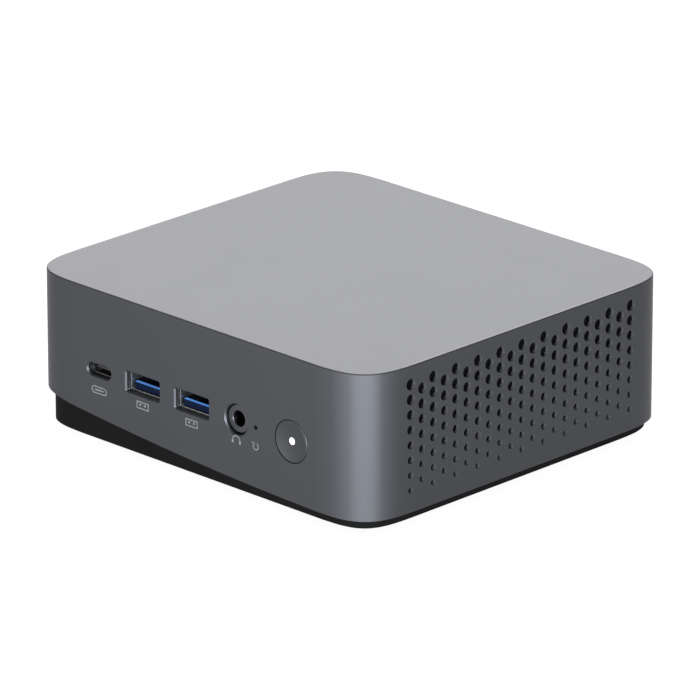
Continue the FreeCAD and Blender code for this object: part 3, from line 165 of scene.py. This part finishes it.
def add_world():
    world = bpy.data.worlds.new("Studio")
    bpy.context.scene.world = world
    world.use_nodes = True
    background = world.node_tree.nodes["Background"]
    background.inputs["Color"].default_value = (*WHITE, 1.0)
    background.inputs["Strength"].default_value = WORLD_STRENGTH


def add_floor():
    """Plain pale sweep, lit evenly enough to read as white."""
    mesh = bpy.data.meshes.new("Floor")
    spots = [(i * FLOOR_HALF, j * FLOOR_HALF, FLOOR_HEIGHT)
             for i, j in ((-1, -1), (1, -1), (1, 1), (-1, 1))]
    mesh.from_pydata(spots, [], [(0, 1, 2, 3)])
    floor = bpy.data.objects.new("Floor", mesh)
    bpy.context.scene.collection.objects.link(floor)
    material = Material("FloorPale", FLOOR_ALBEDO, roughness=0.9)
    material.set("Emission Color", (*WHITE, 1.0))
    material.set("Emission Strength", FLOOR_GLOW)
    mesh.materials.append(material.data)


# ---------------------------------------------------------------- materials
class Material:
    """A Principled material whose detail is built from nodes on object coordinates.

    A Mix node has several sockets of one name, so those are given by their numbers."""

    COLOR_A, COLOR_B, COLOR_OUT = 6, 7, 2
    VECTOR_FACTOR, VECTOR_A, VECTOR_B, VECTOR_OUT = 0, 4, 5, 1

    def __init__(self, name, color, metallic=0.0, roughness=0.5, specular=0.5):
        self.data = bpy.data.materials.new(name)
        self.data.use_nodes = True
        self.tree = self.data.node_tree
        self.shader = self.tree.nodes["Principled BSDF"]
        self.set("Base Color", (*color, 1.0))
        self.set("Metallic", metallic)
        self.set("Roughness", roughness)
        self.set("Specular IOR Level", specular)
        self.place = self.add("ShaderNodeTexCoord").outputs["Object"]

    def set(self, socket, number):
        self.shader.inputs[socket].default_value = number

    def drive(self, socket, source):
        """Let a pattern set one of the shader's inputs."""
        self.link(source, self.shader.inputs[socket])

    def add(self, kind, **settings):
        node = self.tree.nodes.new(kind)
        for name, setting in settings.items():
            setattr(node, name, setting)
        return node

    def link(self, source, target):
        self.tree.links.new(source, target)

    def texture(self, kind, numbers, place=None, **settings):
        """Outputs of a node that reads object coordinates; numbers are its other inputs."""
        node = self.add(kind, **settings)
        for socket, number in numbers.items():
            node.inputs[socket].default_value = number
        self.link(place or self.place, node.inputs["Vector"])
        return node.outputs

    def noise(self, size, detail=3.0, place=None):
        """Noise whose lumps are about size metres wide."""
        numbers = {"Scale": 1.0 / size, "Detail": detail, "Roughness": 0.5}
        return self.texture("ShaderNodeTexNoise", numbers, place)["Fac"]

    def stretched(self, scale):
        """Object coordinates scaled unevenly, for brushed or drawn surfaces."""
        return self.texture("ShaderNodeMapping", {"Scale": scale})["Vector"]

    def spread(self, source, low, high, start=0.3, end=0.7):
        """Map the range start to end of a pattern to the range low to high."""
        node = self.add("ShaderNodeMapRange")
        node.inputs["From Min"].default_value = start
        node.inputs["From Max"].default_value = end
        node.inputs["To Min"].default_value = low
        node.inputs["To Max"].default_value = high
        self.link(source, node.inputs["Value"])
        return node.outputs["Result"]

    def opposite(self, mask):
        """0 where the mask is 1, and 1 where it is 0."""
        return self.spread(mask, 1.0, 0.0, start=0.0, end=1.0)

    def alone(self, operation, source):
        """Math on one number."""
        node = self.add("ShaderNodeMath", operation=operation)
        self.link(source, node.inputs[0])
        return node.outputs[0]

    def combine(self, first, second, operation="MULTIPLY"):
        """Math on a number from a socket and a second one, which is a socket or a plain number."""
        node = self.add("ShaderNodeMath", operation=operation)
        self.link(first, node.inputs[0])
        if isinstance(second, (int, float)):
            node.inputs[1].default_value = second
        else:
            self.link(second, node.inputs[1])
        return node.outputs[0]

    def from_point(self, point):
        """Object coordinates measured from a point."""
        node = self.add("ShaderNodeVectorMath", operation="SUBTRACT")
        self.link(self.place, node.inputs[0])
        node.inputs[1].default_value = point
        return node.outputs["Vector"]

    def length(self, source):
        """Length of a vector."""
        node = self.add("ShaderNodeVectorMath", operation="LENGTH")
        self.link(source, node.inputs[0])
        return node.outputs["Value"]

    def agreement(self, first, second):
        """1 where two directions are the same, less where they part."""
        node = self.add("ShaderNodeVectorMath", operation="DOT_PRODUCT")
        self.link(first, node.inputs[0])
        self.link(second, node.inputs[1])
        return node.outputs["Value"]

    def apart(self, source):
        """X, Y and Z of a vector, as sockets."""
        node = self.add("ShaderNodeSeparateXYZ")
        self.link(source, node.inputs["Vector"])
        return node.outputs

    def normal(self, kind="Normal"):
        """Direction that the surface faces: Normal is the smoothed one, True Normal the facet's."""
        return self.add("ShaderNodeNewGeometry").outputs[kind]

    def blend(self, factor, first, second):
        """Colour between first and second, which are colours or sockets."""
        node = self.add("ShaderNodeMix", data_type="RGBA")
        self.link(factor, node.inputs["Factor"])
        for number, part in ((self.COLOR_A, first), (self.COLOR_B, second)):
            if isinstance(part, tuple):
                node.inputs[number].default_value = (*part, 1.0)
            else:
                self.link(part, node.inputs[number])
        return node.outputs[self.COLOR_OUT]

    def between(self, factor, first, second):
        """Vector between first and second, which are sockets."""
        node = self.add("ShaderNodeMix", data_type="VECTOR")
        self.link(factor, node.inputs[self.VECTOR_FACTOR])
        self.link(first, node.inputs[self.VECTOR_A])
        self.link(second, node.inputs[self.VECTOR_B])
        return node.outputs[self.VECTOR_OUT]

    def edges(self, width):
        """1 on worn convex edges, 0 on faces: where a rounded normal leaves the true one."""
        bevel = self.add("ShaderNodeBevel", samples=4)
        bevel.inputs["Radius"].default_value = width
        match = self.agreement(bevel.outputs["Normal"], self.normal())
        sharp = self.spread(match, 1.0, 0.0, start=0.80, end=0.98)
        return self.combine(sharp, self.spread(self.noise(4.0 * MM), 0.35, 1.0))

    def bump(self, height, depth, strength):
        """Surface relief: height is a 0 to 1 pattern and depth its size in metres."""
        node = self.add("ShaderNodeBump")
        node.inputs["Strength"].default_value = strength
        node.inputs["Distance"].default_value = depth
        self.link(height, node.inputs["Height"])
        previous = self.shader.inputs["Normal"]
        if previous.is_linked:
            self.link(previous.links[0].from_socket, node.inputs["Normal"])
        self.drive("Normal", node.outputs["Normal"])


def tint(color, factor):
    return tuple(min(1.0, part * factor) for part in color)


def corners(box):
    """Lowest and highest corner of a node's box, as vectors."""
    return [Vector(corner) for corner in box]


def anodised(name, color, roughness):
    """Bead-blasted, anodised aluminium: a fine even grain, faint clouding and paler worn edges."""
    m = Material(name, color, metallic=1.0, roughness=roughness)
    grain = m.noise(0.22 * MM, detail=2.0)
    cloud = m.noise(18.0 * MM, detail=2.0)
    clouded = m.blend(m.spread(cloud, 0.0, 1.0), tint(color, 0.995), tint(color, 1.005))
    speckled = m.blend(m.spread(grain, 0.0, 0.5), clouded, tint(color, 1.12))
    m.toned = m.blend(m.combine(m.edges(0.35 * MM), 0.3), speckled, tint(color, 2.2))
    m.drive("Base Color", m.toned)
    fine = m.spread(grain, roughness - 0.03, roughness + 0.04)
    m.drive("Roughness", m.combine(fine, m.spread(cloud, -0.003, 0.003), "ADD"))
    m.bump(grain, depth=0.012 * MM, strength=0.35)
    return m


def corner_arcs():
    """Centre, first angle and last angle of each arc of the shell's corner at +X, +Y."""
    arcs = []
    angle = 0.0
    spot = Vector((0.0, 0.0))
    for radius, turn in CORNER_ARCS:
        centre = spot - radius * MM * Vector((math.cos(angle), math.sin(angle)))
        last = angle + math.radians(turn)
        arcs.append((centre, angle, last))
        angle = last
        spot = centre + radius * MM * Vector((math.cos(angle), math.sin(angle)))
    start = Vector((CAD_BOX[1][0], CAD_BOX[1][1] - spot.y))
    return [(start + centre, first, last) for centre, first, last in arcs]


def smooth_corners(m, spot, across, along):
    """Shade the shell's outer wall by the exact arcs of its corners, so that no facets show.

    spot is X, Y and Z of the surface, and across and along are X and Y without their signs."""
    turned = None
    for centre, first, last in corner_arcs():
        from_centre = (m.combine(along, -centre.y, "ADD"), m.combine(across, -centre.x, "ADD"))
        share = m.spread(m.combine(*from_centre, "ARCTAN2"), 0.0, last - first, first, last)
        turned = share if turned is None else m.combine(turned, share, "ADD")
    outward = m.add("ShaderNodeCombineXYZ")
    for letter, operation in (("X", "COSINE"), ("Y", "SINE")):
        part = m.combine(m.alone("SIGN", spot[letter]), m.alone(operation, turned))
        m.link(part, outward.inputs[letter])
    outward = outward.outputs["Vector"]
    match = m.agreement(m.normal("True Normal"), outward)
    wall = m.spread(match, 0.0, 1.0, start=0.95, end=0.97)
    grain = m.shader.inputs["Normal"].links[0].from_node
    m.link(m.between(wall, m.normal(), outward), grain.inputs["Normal"])


def shell_metal():
    """The shell's finish, with paler, duller walls where the vent holes were drilled."""
    m = anodised("GreyMetal", SHELL_GREY, SHELL_ROUGH)
    spot = m.apart(m.place)
    across = m.alone("ABSOLUTE", spot["X"])
    along = m.alone("ABSOLUTE", spot["Y"])
    inner = CAD_BOX[1][0] - VENT_WALL
    deep = m.spread(across, 0.0, 1.0, inner - 0.05 * MM, inner)
    panel = m.spread(along, 1.0, 0.0, VENT_REACH, VENT_REACH + 0.1 * MM)
    sideways = m.alone("ABSOLUTE", m.apart(m.normal("True Normal"))["X"])
    drilled = m.combine(m.combine(deep, panel), m.spread(sideways, 1.0, 0.0, 0.3, 0.5))
    m.drive("Base Color", m.blend(drilled, m.toned, DRILLED_GREY))
    m.drive("Metallic", m.opposite(drilled))
    smooth_corners(m, spot, across, along)
    return m.data


def jack_metal():
    """The jack's nose, a little paler than the shell's grey; its mouth and bore are painted black as
    shade inside the hole.
    """
    m = anodised("JackMetal", tint(SHELL_GREY, 1.15), 0.42)
    low, high = corners(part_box("audio_jack_barrel"))
    flat = m.add("ShaderNodeVectorMath", operation="MULTIPLY")
    m.link(m.from_point(((low.x + high.x) / 2, 0.0, (low.z + high.z) / 2)), flat.inputs[0])
    flat.inputs[1].default_value = (1.0, 0.0, 1.0)
    reach = m.length(flat.outputs["Vector"])
    # painted shade in the hole: black and not metal within JACK_MOUTH of the axis
    mouth = m.spread(reach, 1.0, 0.0, JACK_MOUTH, JACK_MOUTH + 0.1 * MM)
    m.drive("Base Color", m.blend(mouth, m.toned, JACK_PAINTED_SHADE))
    m.drive("Metallic", m.opposite(mouth))
    m.set("Specular IOR Level", 0.02)
    return m.data


def moulded(name, color, roughness, specular=0.3, grain_size=0.35 * MM, depth=0.02 * MM):
    """Moulded plastic or rubber with a spark-eroded texture and scuffed edges."""
    m = Material(name, color, roughness=roughness, specular=specular)
    grain = m.noise(grain_size)
    toned = m.blend(m.spread(m.noise(12.0 * MM), 0.0, 1.0), tint(color, 0.88), tint(color, 1.15))
    m.drive("Base Color", m.blend(m.combine(m.edges(0.3 * MM), 0.3), toned, tint(color, 2.0)))
    m.drive("Roughness", m.spread(grain, roughness - 0.06, min(1.0, roughness + 0.08)))
    m.bump(grain, depth, strength=0.5)
    return m.data


def drawn(name, color, roughness, along=(1.0, 0.03, 1.0), streak=0.3 * MM):
    """Bare or plated metal with drawing lines along one axis, dull spots and bright edges."""
    m = Material(name, color, metallic=1.0, roughness=roughness)
    lines = m.noise(streak, place=m.stretched(along))
    dull = m.noise(3.5 * MM)
    toned = m.blend(m.spread(dull, 0.0, 1.0), tint(color, 0.86), tint(color, 1.06))
    m.drive("Base Color", m.blend(m.combine(m.edges(0.15 * MM), 0.6), toned, tint(color, 1.35)))
    lined = m.spread(lines, roughness - 0.07, roughness + 0.09)
    m.drive("Roughness", m.combine(lined, m.spread(dull, 0.04, -0.02), "ADD"))
    m.bump(lines, depth=0.006 * MM, strength=0.5)
    return m.data


def socket_blue(name, node, facing):
    """Insulator of a fast USB socket: painted bright and glowing along the top of its tongue's front
    edge as a highlight, and painted dark as shade behind it and elsewhere.

    facing is -1 for a socket that opens to the front and 1 for one that opens to the back."""
    m = Material(name, USB_BLUE, roughness=0.35, specular=0.05)
    low, high = corners(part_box(node))
    tip = low.y if facing < 0 else high.y
    # painted highlight: near the tongue's tip, on faces that look up; the rest is painted shade
    depth = m.spread(m.apart(m.place)["Y"], 0.0, 1.0,
                     start=tip - facing * USB_HIGHLIGHT_DEPTH * 1.15, end=tip - facing * USB_HIGHLIGHT_DEPTH * 0.85)
    painted_highlight = m.combine(depth, m.spread(m.apart(m.normal())["Z"], 0.0, 1.0, start=0.2, end=0.8))
    grain = m.noise(0.4 * MM)
    lit = m.blend(m.spread(grain, 0.0, 1.0), tint(USB_BLUE, 0.9), tint(USB_BLUE, 1.1))
    m.drive("Base Color", m.blend(painted_highlight, USB_PAINTED_SHADE, lit))
    m.drive("Roughness", m.spread(grain, 0.42, 0.58))
    m.bump(grain, depth=0.01 * MM, strength=0.4)
    # the painted highlight glows as well
    m.drive("Emission Color", m.blend(painted_highlight, BLACK, USB_BLUE))
    m.set("Emission Strength", USB_PAINTED_GLOW)
    return m.data


def filter_mesh():
    """Black woven dust filter: crossed threads with fine gaps between them."""
    m = Material("FilterMesh", MESH_BLACK, roughness=0.8, specular=0.02)
    threads = [m.texture("ShaderNodeTexWave", {"Scale": 700.0}, wave_type="BANDS",
                         bands_direction=way)["Fac"] for way in ("Y", "Z")]
    weave = m.combine(*threads, "MAXIMUM")
    dust = m.noise(2.0 * MM)
    dusty = m.combine(weave, m.spread(dust, 0.4, 1.0))
    m.drive("Base Color", m.blend(dusty, tint(MESH_BLACK, 0.4), tint(MESH_BLACK, 1.4)))
    m.drive("Roughness", m.spread(dust, 0.7, 0.95))
    m.bump(weave, depth=0.04 * MM, strength=0.6)
    return m.data


def circuit_board(name, mask):
    """Solder mask over copper runs, with plated holes and faint glass weave."""
    m = Material(name, mask, roughness=0.35, specular=0.5)
    layout = {"Scale": 320.0, "Mortar Size": 0.03, "Brick Width": 1.3, "Row Height": 0.22}
    runs = m.texture("ShaderNodeTexBrick", layout, offset=0.37, squash=1.6, squash_frequency=3)["Fac"]
    holes = m.texture("ShaderNodeTexVoronoi", {"Scale": 330.0})["Distance"]
    plated = m.spread(holes, 1.0, 0.0, start=0.12, end=0.15)
    weave = m.noise(0.2 * MM)
    copper = m.blend(runs, mask, tint(mask, 1.7))
    toned = m.blend(m.spread(weave, 0.0, 0.5), copper, tint(mask, 0.75))
    m.drive("Base Color", m.blend(plated, toned, PLATED_GOLD))
    m.drive("Metallic", plated)
    m.drive("Roughness", m.spread(weave, 0.28, 0.42))
    m.bump(runs, depth=0.03 * MM, strength=0.5)
    m.bump(weave, depth=0.01 * MM, strength=0.4)
    return m.data


def silicon():
    """Polished die whose blocks show as faint tiles."""
    m = Material("DieSilicon", DIE_BLUE, metallic=0.9, roughness=0.12)
    layout = {"Scale": 260.0, "Mortar Size": 0.02}
    tiles = m.texture("ShaderNodeTexBrick", layout, offset=0.3)["Fac"]
    smear = m.noise(2.0 * MM)
    m.drive("Base Color", m.blend(tiles, DIE_BLUE, DIE_PALE))
    m.drive("Roughness", m.spread(smear, 0.08, 0.2))
    m.bump(smear, depth=0.004 * MM, strength=0.3)
    return m.data


def capacitor_can():
    """Aluminium can with a black stripe over one side of its top and a black foot."""
    m = Material("CapacitorCan", CAN_GREY, metallic=1.0, roughness=0.3)
    low, high = corners(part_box("capacitors"))
    spot = m.apart(m.place)
    fade = 0.05 * MM
    stripe, cap, foot = low.x + CAN_STRIPE, high.z - CAN_CAP, low.z + CAN_FOOT
    striped = m.combine(m.spread(spot["X"], 1.0, 0.0, stripe, stripe + fade),
                        m.spread(spot["Z"], 0.0, 1.0, cap, cap + fade))
    black = m.combine(striped, m.spread(spot["Z"], 1.0, 0.0, foot, foot + fade), "MAXIMUM")
    dull = m.noise(1.0 * MM)
    toned = m.blend(m.spread(dull, 0.0, 1.0), tint(CAN_GREY, 0.9), tint(CAN_GREY, 1.1))
    m.drive("Base Color", m.blend(black, toned, CAN_BLACK))
    m.drive("Metallic", m.opposite(black))
    m.drive("Roughness", m.spread(dull, 0.24, 0.4))
    m.bump(dull, depth=0.01 * MM, strength=0.3)
    return m.data


def cell_steel():
    """Button cell turned on its face: fine rings round the middle."""
    m = Material("CellSteel", CELL_GREY, metallic=1.0, roughness=0.25)
    low, high = corners(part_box("clock_battery"))
    numbers = {"Scale": 1200.0, "Distortion": 0.6}
    rings = m.texture("ShaderNodeTexWave", numbers, m.from_point((low + high) / 2),
                      wave_type="RINGS", rings_direction="Z")["Fac"]
    stain = m.noise(3.0 * MM)
    stained = m.blend(m.spread(stain, 0.0, 1.0), tint(CELL_GREY, 0.88), tint(CELL_GREY, 1.05))
    m.drive("Base Color", stained)
    ringed = m.spread(rings, 0.2, 0.32, start=0.0, end=1.0)
    m.drive("Roughness", m.combine(ringed, m.spread(stain, 0.0, 0.06), "ADD"))
    m.bump(rings, depth=0.005 * MM, strength=0.3)
    return m.data


def lit_lens():
    """Diffusing light pipe: bright in the middle, softer at its rim, with a faint moulded grain."""
    m = Material("LitLens", (0.9, 0.9, 0.9), roughness=0.35)
    low, high = corners(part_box("power_led_lens"))
    reach = m.length(m.from_point(((low.x + high.x) / 2, low.y, (low.z + high.z) / 2)))
    glow = m.spread(reach, LENS_GLOW, LENS_GLOW * 0.35, LENS_CORE, LENS_EDGE)
    grain = m.noise(0.3 * MM)
    m.drive("Emission Strength", m.combine(glow, m.spread(grain, 0.9, 1.1)))
    m.set("Emission Color", (*WHITE, 1.0))
    m.drive("Base Color", m.blend(m.spread(grain, 0.0, 1.0), (0.82, 0.83, 0.85), (0.95, 0.95, 0.95)))
    m.drive("Roughness", m.spread(grain, 0.3, 0.45))
    m.bump(grain, depth=0.01 * MM, strength=0.3)
    return m.data


def antenna_film():
    """Dark film with copper tracks folded to and fro."""
    m = Material("AntennaFilm", FILM_BLACK, roughness=0.5)
    layout = {"Scale": 400.0, "Mortar Size": 0.06}
    tracks = m.texture("ShaderNodeTexBrick", layout, offset=0.5)["Fac"]
    grain = m.noise(0.4 * MM)
    m.drive("Base Color", m.blend(tracks, FILM_BLACK, TRACK_COPPER))
    m.drive("Metallic", tracks)
    m.drive("Roughness", m.spread(grain, 0.35, 0.55))
    m.bump(tracks, depth=0.03 * MM, strength=0.5)
    return m.data


def printed_ink():
    """Pale screen print, a little uneven and worn thin in places."""
    m = Material("PrintedInk", INK, roughness=0.6, specular=0.3)
    grain = m.noise(0.25 * MM)
    m.drive("Base Color", m.blend(m.spread(grain, 0.0, 1.0), tint(INK, 0.8), tint(INK, 1.15)))
    m.drive("Roughness", m.spread(grain, 0.5, 0.75))
    m.bump(grain, depth=0.01 * MM, strength=0.4)
    return m.data


# ---------------------------------------------------------------- which node has which material
def paint(material, *nodes):
    """Give carried-over CAD nodes a material."""
    for name in nodes:
        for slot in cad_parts[name].material_slots:
            slot.material = material


def numbered(pattern, *choices):
    return [pattern.format(choice) for choice in choices]


def paint_outside():
    """The case and what shows on it; the black plastic is used inside as well."""
    usb = ("front_usb_1", "front_usb_2", "rear_usb_1", "rear_usb_2")
    paint(shell_metal(), "top_shell")
    button = anodised("ButtonMetal", tint(SHELL_GREY, 0.97), SHELL_ROUGH - 0.04)
    paint(button.data, "power_button")
    paint(jack_metal(), "audio_jack_barrel")
    paint(moulded("BaseBlack", BASE_BLACK, 0.6, specular=BASE_SHEEN), "base_cover")
    paint(moulded("FootRubber", (0.010, 0.010, 0.010), 0.85, specular=0.2, grain_size=0.6 * MM,
                  depth=0.04 * MM), "rubber_feet")
    paint(drawn("NickelPlate", (0.60, 0.59, 0.57), 0.28),
          *numbered("{}_sleeve", *usb, "video_1", "video_2"))
    paint(drawn("DarkNickel", (0.16, 0.16, 0.165), 0.34), "usb_c_sleeve")
    for socket, facing in zip(usb, (-1, -1, 1, 1)):
        tongue = f"{socket}_tongue"
        paint(socket_blue(f"SocketBluePaintedLight_{socket}", tongue, facing), tongue)
    paint(filter_mesh(), "dust_screens")
    paint(moulded("BlackPlastic", (0.012, 0.012, 0.013), 0.42, grain_size=0.3 * MM),
          *numbered("{}_tongue", "video_1", "video_2", "usb_c"), "usb_c_riser",
          "audio_jack_body", "power_inlet_body", "network_jack",
          "power_switch_body", "reset_switch_body", "battery_holder",
          *numbered("{}_socket", "memory_upper", "memory_lower", "drive", "radio"))
    paint(drawn("ContactGold", (0.83, 0.62, 0.26), 0.22), "network_contacts", "power_inlet_pin")
    paint(lit_lens(), "power_led_lens")


def paint_inside():
    """The boards, the cooler and the fastenings."""
    paint(drawn("ScrewSteel", (0.50, 0.50, 0.51), 0.32, along=(1.0, 1.0, 0.06)),
          *numbered("{}_screws", "base", "fan", "card"), "fan_spindle")
    paint(drawn("SpacerBrass", (0.62, 0.47, 0.20), 0.3, along=(1.0, 1.0, 0.08)),
          "board_standoffs", "card_spacers")
    paint(moulded("PlungerIvory", (0.55, 0.52, 0.45), 0.45),
          "power_switch_plunger", "reset_switch_plunger")
    paint(circuit_board("BoardGreen", BOARD_GREEN), "mainboard",
          "memory_upper_module", "memory_lower_module", "drive_card", "radio_card")
    paint(circuit_board("PackageGreen", PACKAGE_GREEN), "processor_package")
    paint(silicon(), "processor_die")
    paint(drawn("SinkAluminium", (0.62, 0.63, 0.64), 0.34, along=(1.0, 0.02, 1.0),
                streak=0.5 * MM), "heatsink")
    paint(moulded("FanFrame", (0.012, 0.012, 0.012), 0.5), "fan_frame")
    paint(moulded("FanBlade", (0.016, 0.016, 0.017), 0.38, grain_size=0.6 * MM), "fan_impeller")
    paint(moulded("ChipEpoxy", (0.014, 0.014, 0.015), 0.5, grain_size=0.2 * MM, depth=0.008 * MM),
          *numbered("{}_chips", "memory_upper", "memory_lower", "drive", "radio"))
    paint(moulded("CoilFerrite", (0.10, 0.10, 0.105), 0.6, grain_size=0.2 * MM, depth=0.03 * MM),
          "power_coils")
    paint(capacitor_can(), "capacitors")
    paint(cell_steel(), "clock_battery")
    paint(antenna_film(), "antenna_strips")


# ---------------------------------------------------------------- printed marks
def ribbon(mesh, points, width, closed=False):
    """Thin raised stroke along a path of (x, z) points in millimetres on the front face."""
    count = len(points)
    path = [Vector(point) for point in points]
    rings = []
    for i, point in enumerate(path):
        before = path[i - 1] if i or closed else None
        after = path[(i + 1) % count] if i + 1 < count or closed else None
        into = ((point - before) if before is not None else (after - point)).normalized()
        out = (after - point).normalized() if after is not None else into
        side = Vector((-into.y, into.x))
        normal = (side + Vector((-out.y, out.x))).normalized()
        reach = width / 2 / max(0.5, normal.dot(side))
        edges = [point + normal * reach, point - normal * reach]
        rings.append([mesh.verts.new((edge.x * MM, y, edge.y * MM))
                      for y in (FRONT_Y - INK_THICK, FRONT_Y + INK_THICK) for edge in edges])
    for i in range(count if closed else count - 1):
        first, second = rings[i], rings[(i + 1) % count]
        for a, b in ((0, 1), (3, 2), (1, 3), (2, 0)):
            mesh.faces.new((first[a], first[b], second[b], second[a]))
    if not closed:
        for end in (rings[0], rings[-1]):
            mesh.faces.new((end[0], end[1], end[3], end[2]))


def arc(x, z, radius, first, last, steps=20):
    """Points on an arc, angles in degrees from +x towards +z."""
    angles = [math.radians(first + (last - first) * i / steps) for i in range(steps + 1)]
    return [(x + radius * math.cos(a), z + radius * math.sin(a)) for a in angles]


def slim_plug(x, z):
    """Plug with round ends and a tongue."""
    radius, end, tongue = 0.95, 2.0, 1.7
    outline = arc(x + end, z, radius, -90, 90, 12) + arc(x - end, z, radius, 90, 270, 12)
    return [(outline, MARK_LINE, True), ([(x - tongue, z), (x + tongue, z)], 0.4, False)]


def wide_plug(x, z):
    """Oblong plug with two square holes."""
    half_width, half_height = 2.3, 0.95
    outline = [(x + i * half_width, z + j * half_height)
               for i, j in ((-1, -1), (1, -1), (1, 1), (-1, 1))]
    hole, half_hole, lift = 0.95, 0.35, 0.1
    holes = [([(x + side * hole - half_hole, z + lift), (x + side * hole + half_hole, z + lift)],
              0.6, False) for side in (-1, 1)]
    return [(outline, MARK_LINE, True)] + holes


def headphones(x, z):
    """A band with a cup at each end."""
    radius = 1.45
    band = arc(x, z - 0.35, radius, 0, 180)
    cups = [([(x + side * radius, z - 1.25), (x + side * radius, z - 0.25)], 0.75, False)
            for side in (-1, 1)]
    return [(band, MARK_LINE, False)] + cups


def turning_arrow(x, z):
    """Most of a circle, with an arrow's head where it starts."""
    radius, start, turn = 1.0, 120, 305
    barb, half_angle = 1.0, 38
    circle = arc(x, z - 0.1, radius, start, start + turn)
    tip_x, tip_z = circle[0]
    ways = [math.radians(start - 90 + side * half_angle) for side in (-1, 1)]
    ends = [(tip_x - barb * math.cos(way), tip_z - barb * math.sin(way)) for way in ways]
    return [(circle, MARK_LINE, False), ([ends[0], circle[0], ends[1]], MARK_LINE, False)]


# name, the node that it stands under, and its shape
MARKS = (
    ("mark_slim_plug", "usb_c_sleeve", slim_plug),
    ("mark_wide_plug_1", "front_usb_1_sleeve", wide_plug),
    ("mark_wide_plug_2", "front_usb_2_sleeve", wide_plug),
    ("mark_headphones", "audio_jack_barrel", headphones),
    ("mark_turning_arrow", "reset_switch_plunger", turning_arrow),
)


def add_mark(name, node, shape, ink):
    """One printed symbol under a node, made of strokes: (points, width, closed)."""
    low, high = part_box(node)
    mesh = bmesh.new()
    for points, width, closed in shape((low[0] + high[0]) / 2 / MM, MARK_HEIGHT):
        ribbon(mesh, points, width, closed)
    bmesh.ops.recalc_face_normals(mesh, faces=mesh.faces[:])
    data = bpy.data.meshes.new(name)
    mesh.to_mesh(data)
    mesh.free()
    data.materials.append(ink)
    mark = bpy.data.objects.new(name, data)
    bpy.context.scene.collection.objects.link(mark)
    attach(mark, "case")


# ---------------------------------------------------------------- the scene
bpy.context.scene.view_settings.view_transform = "Standard"
add_camera()
add_world()
add_floor()
for softbox in SOFTBOXES:
    add_softbox(*softbox)
paint_outside()
paint_inside()
mark_ink = printed_ink()
for mark_name, mark_node, mark_shape in MARKS:
    add_mark(mark_name, mark_node, mark_shape, mark_ink)
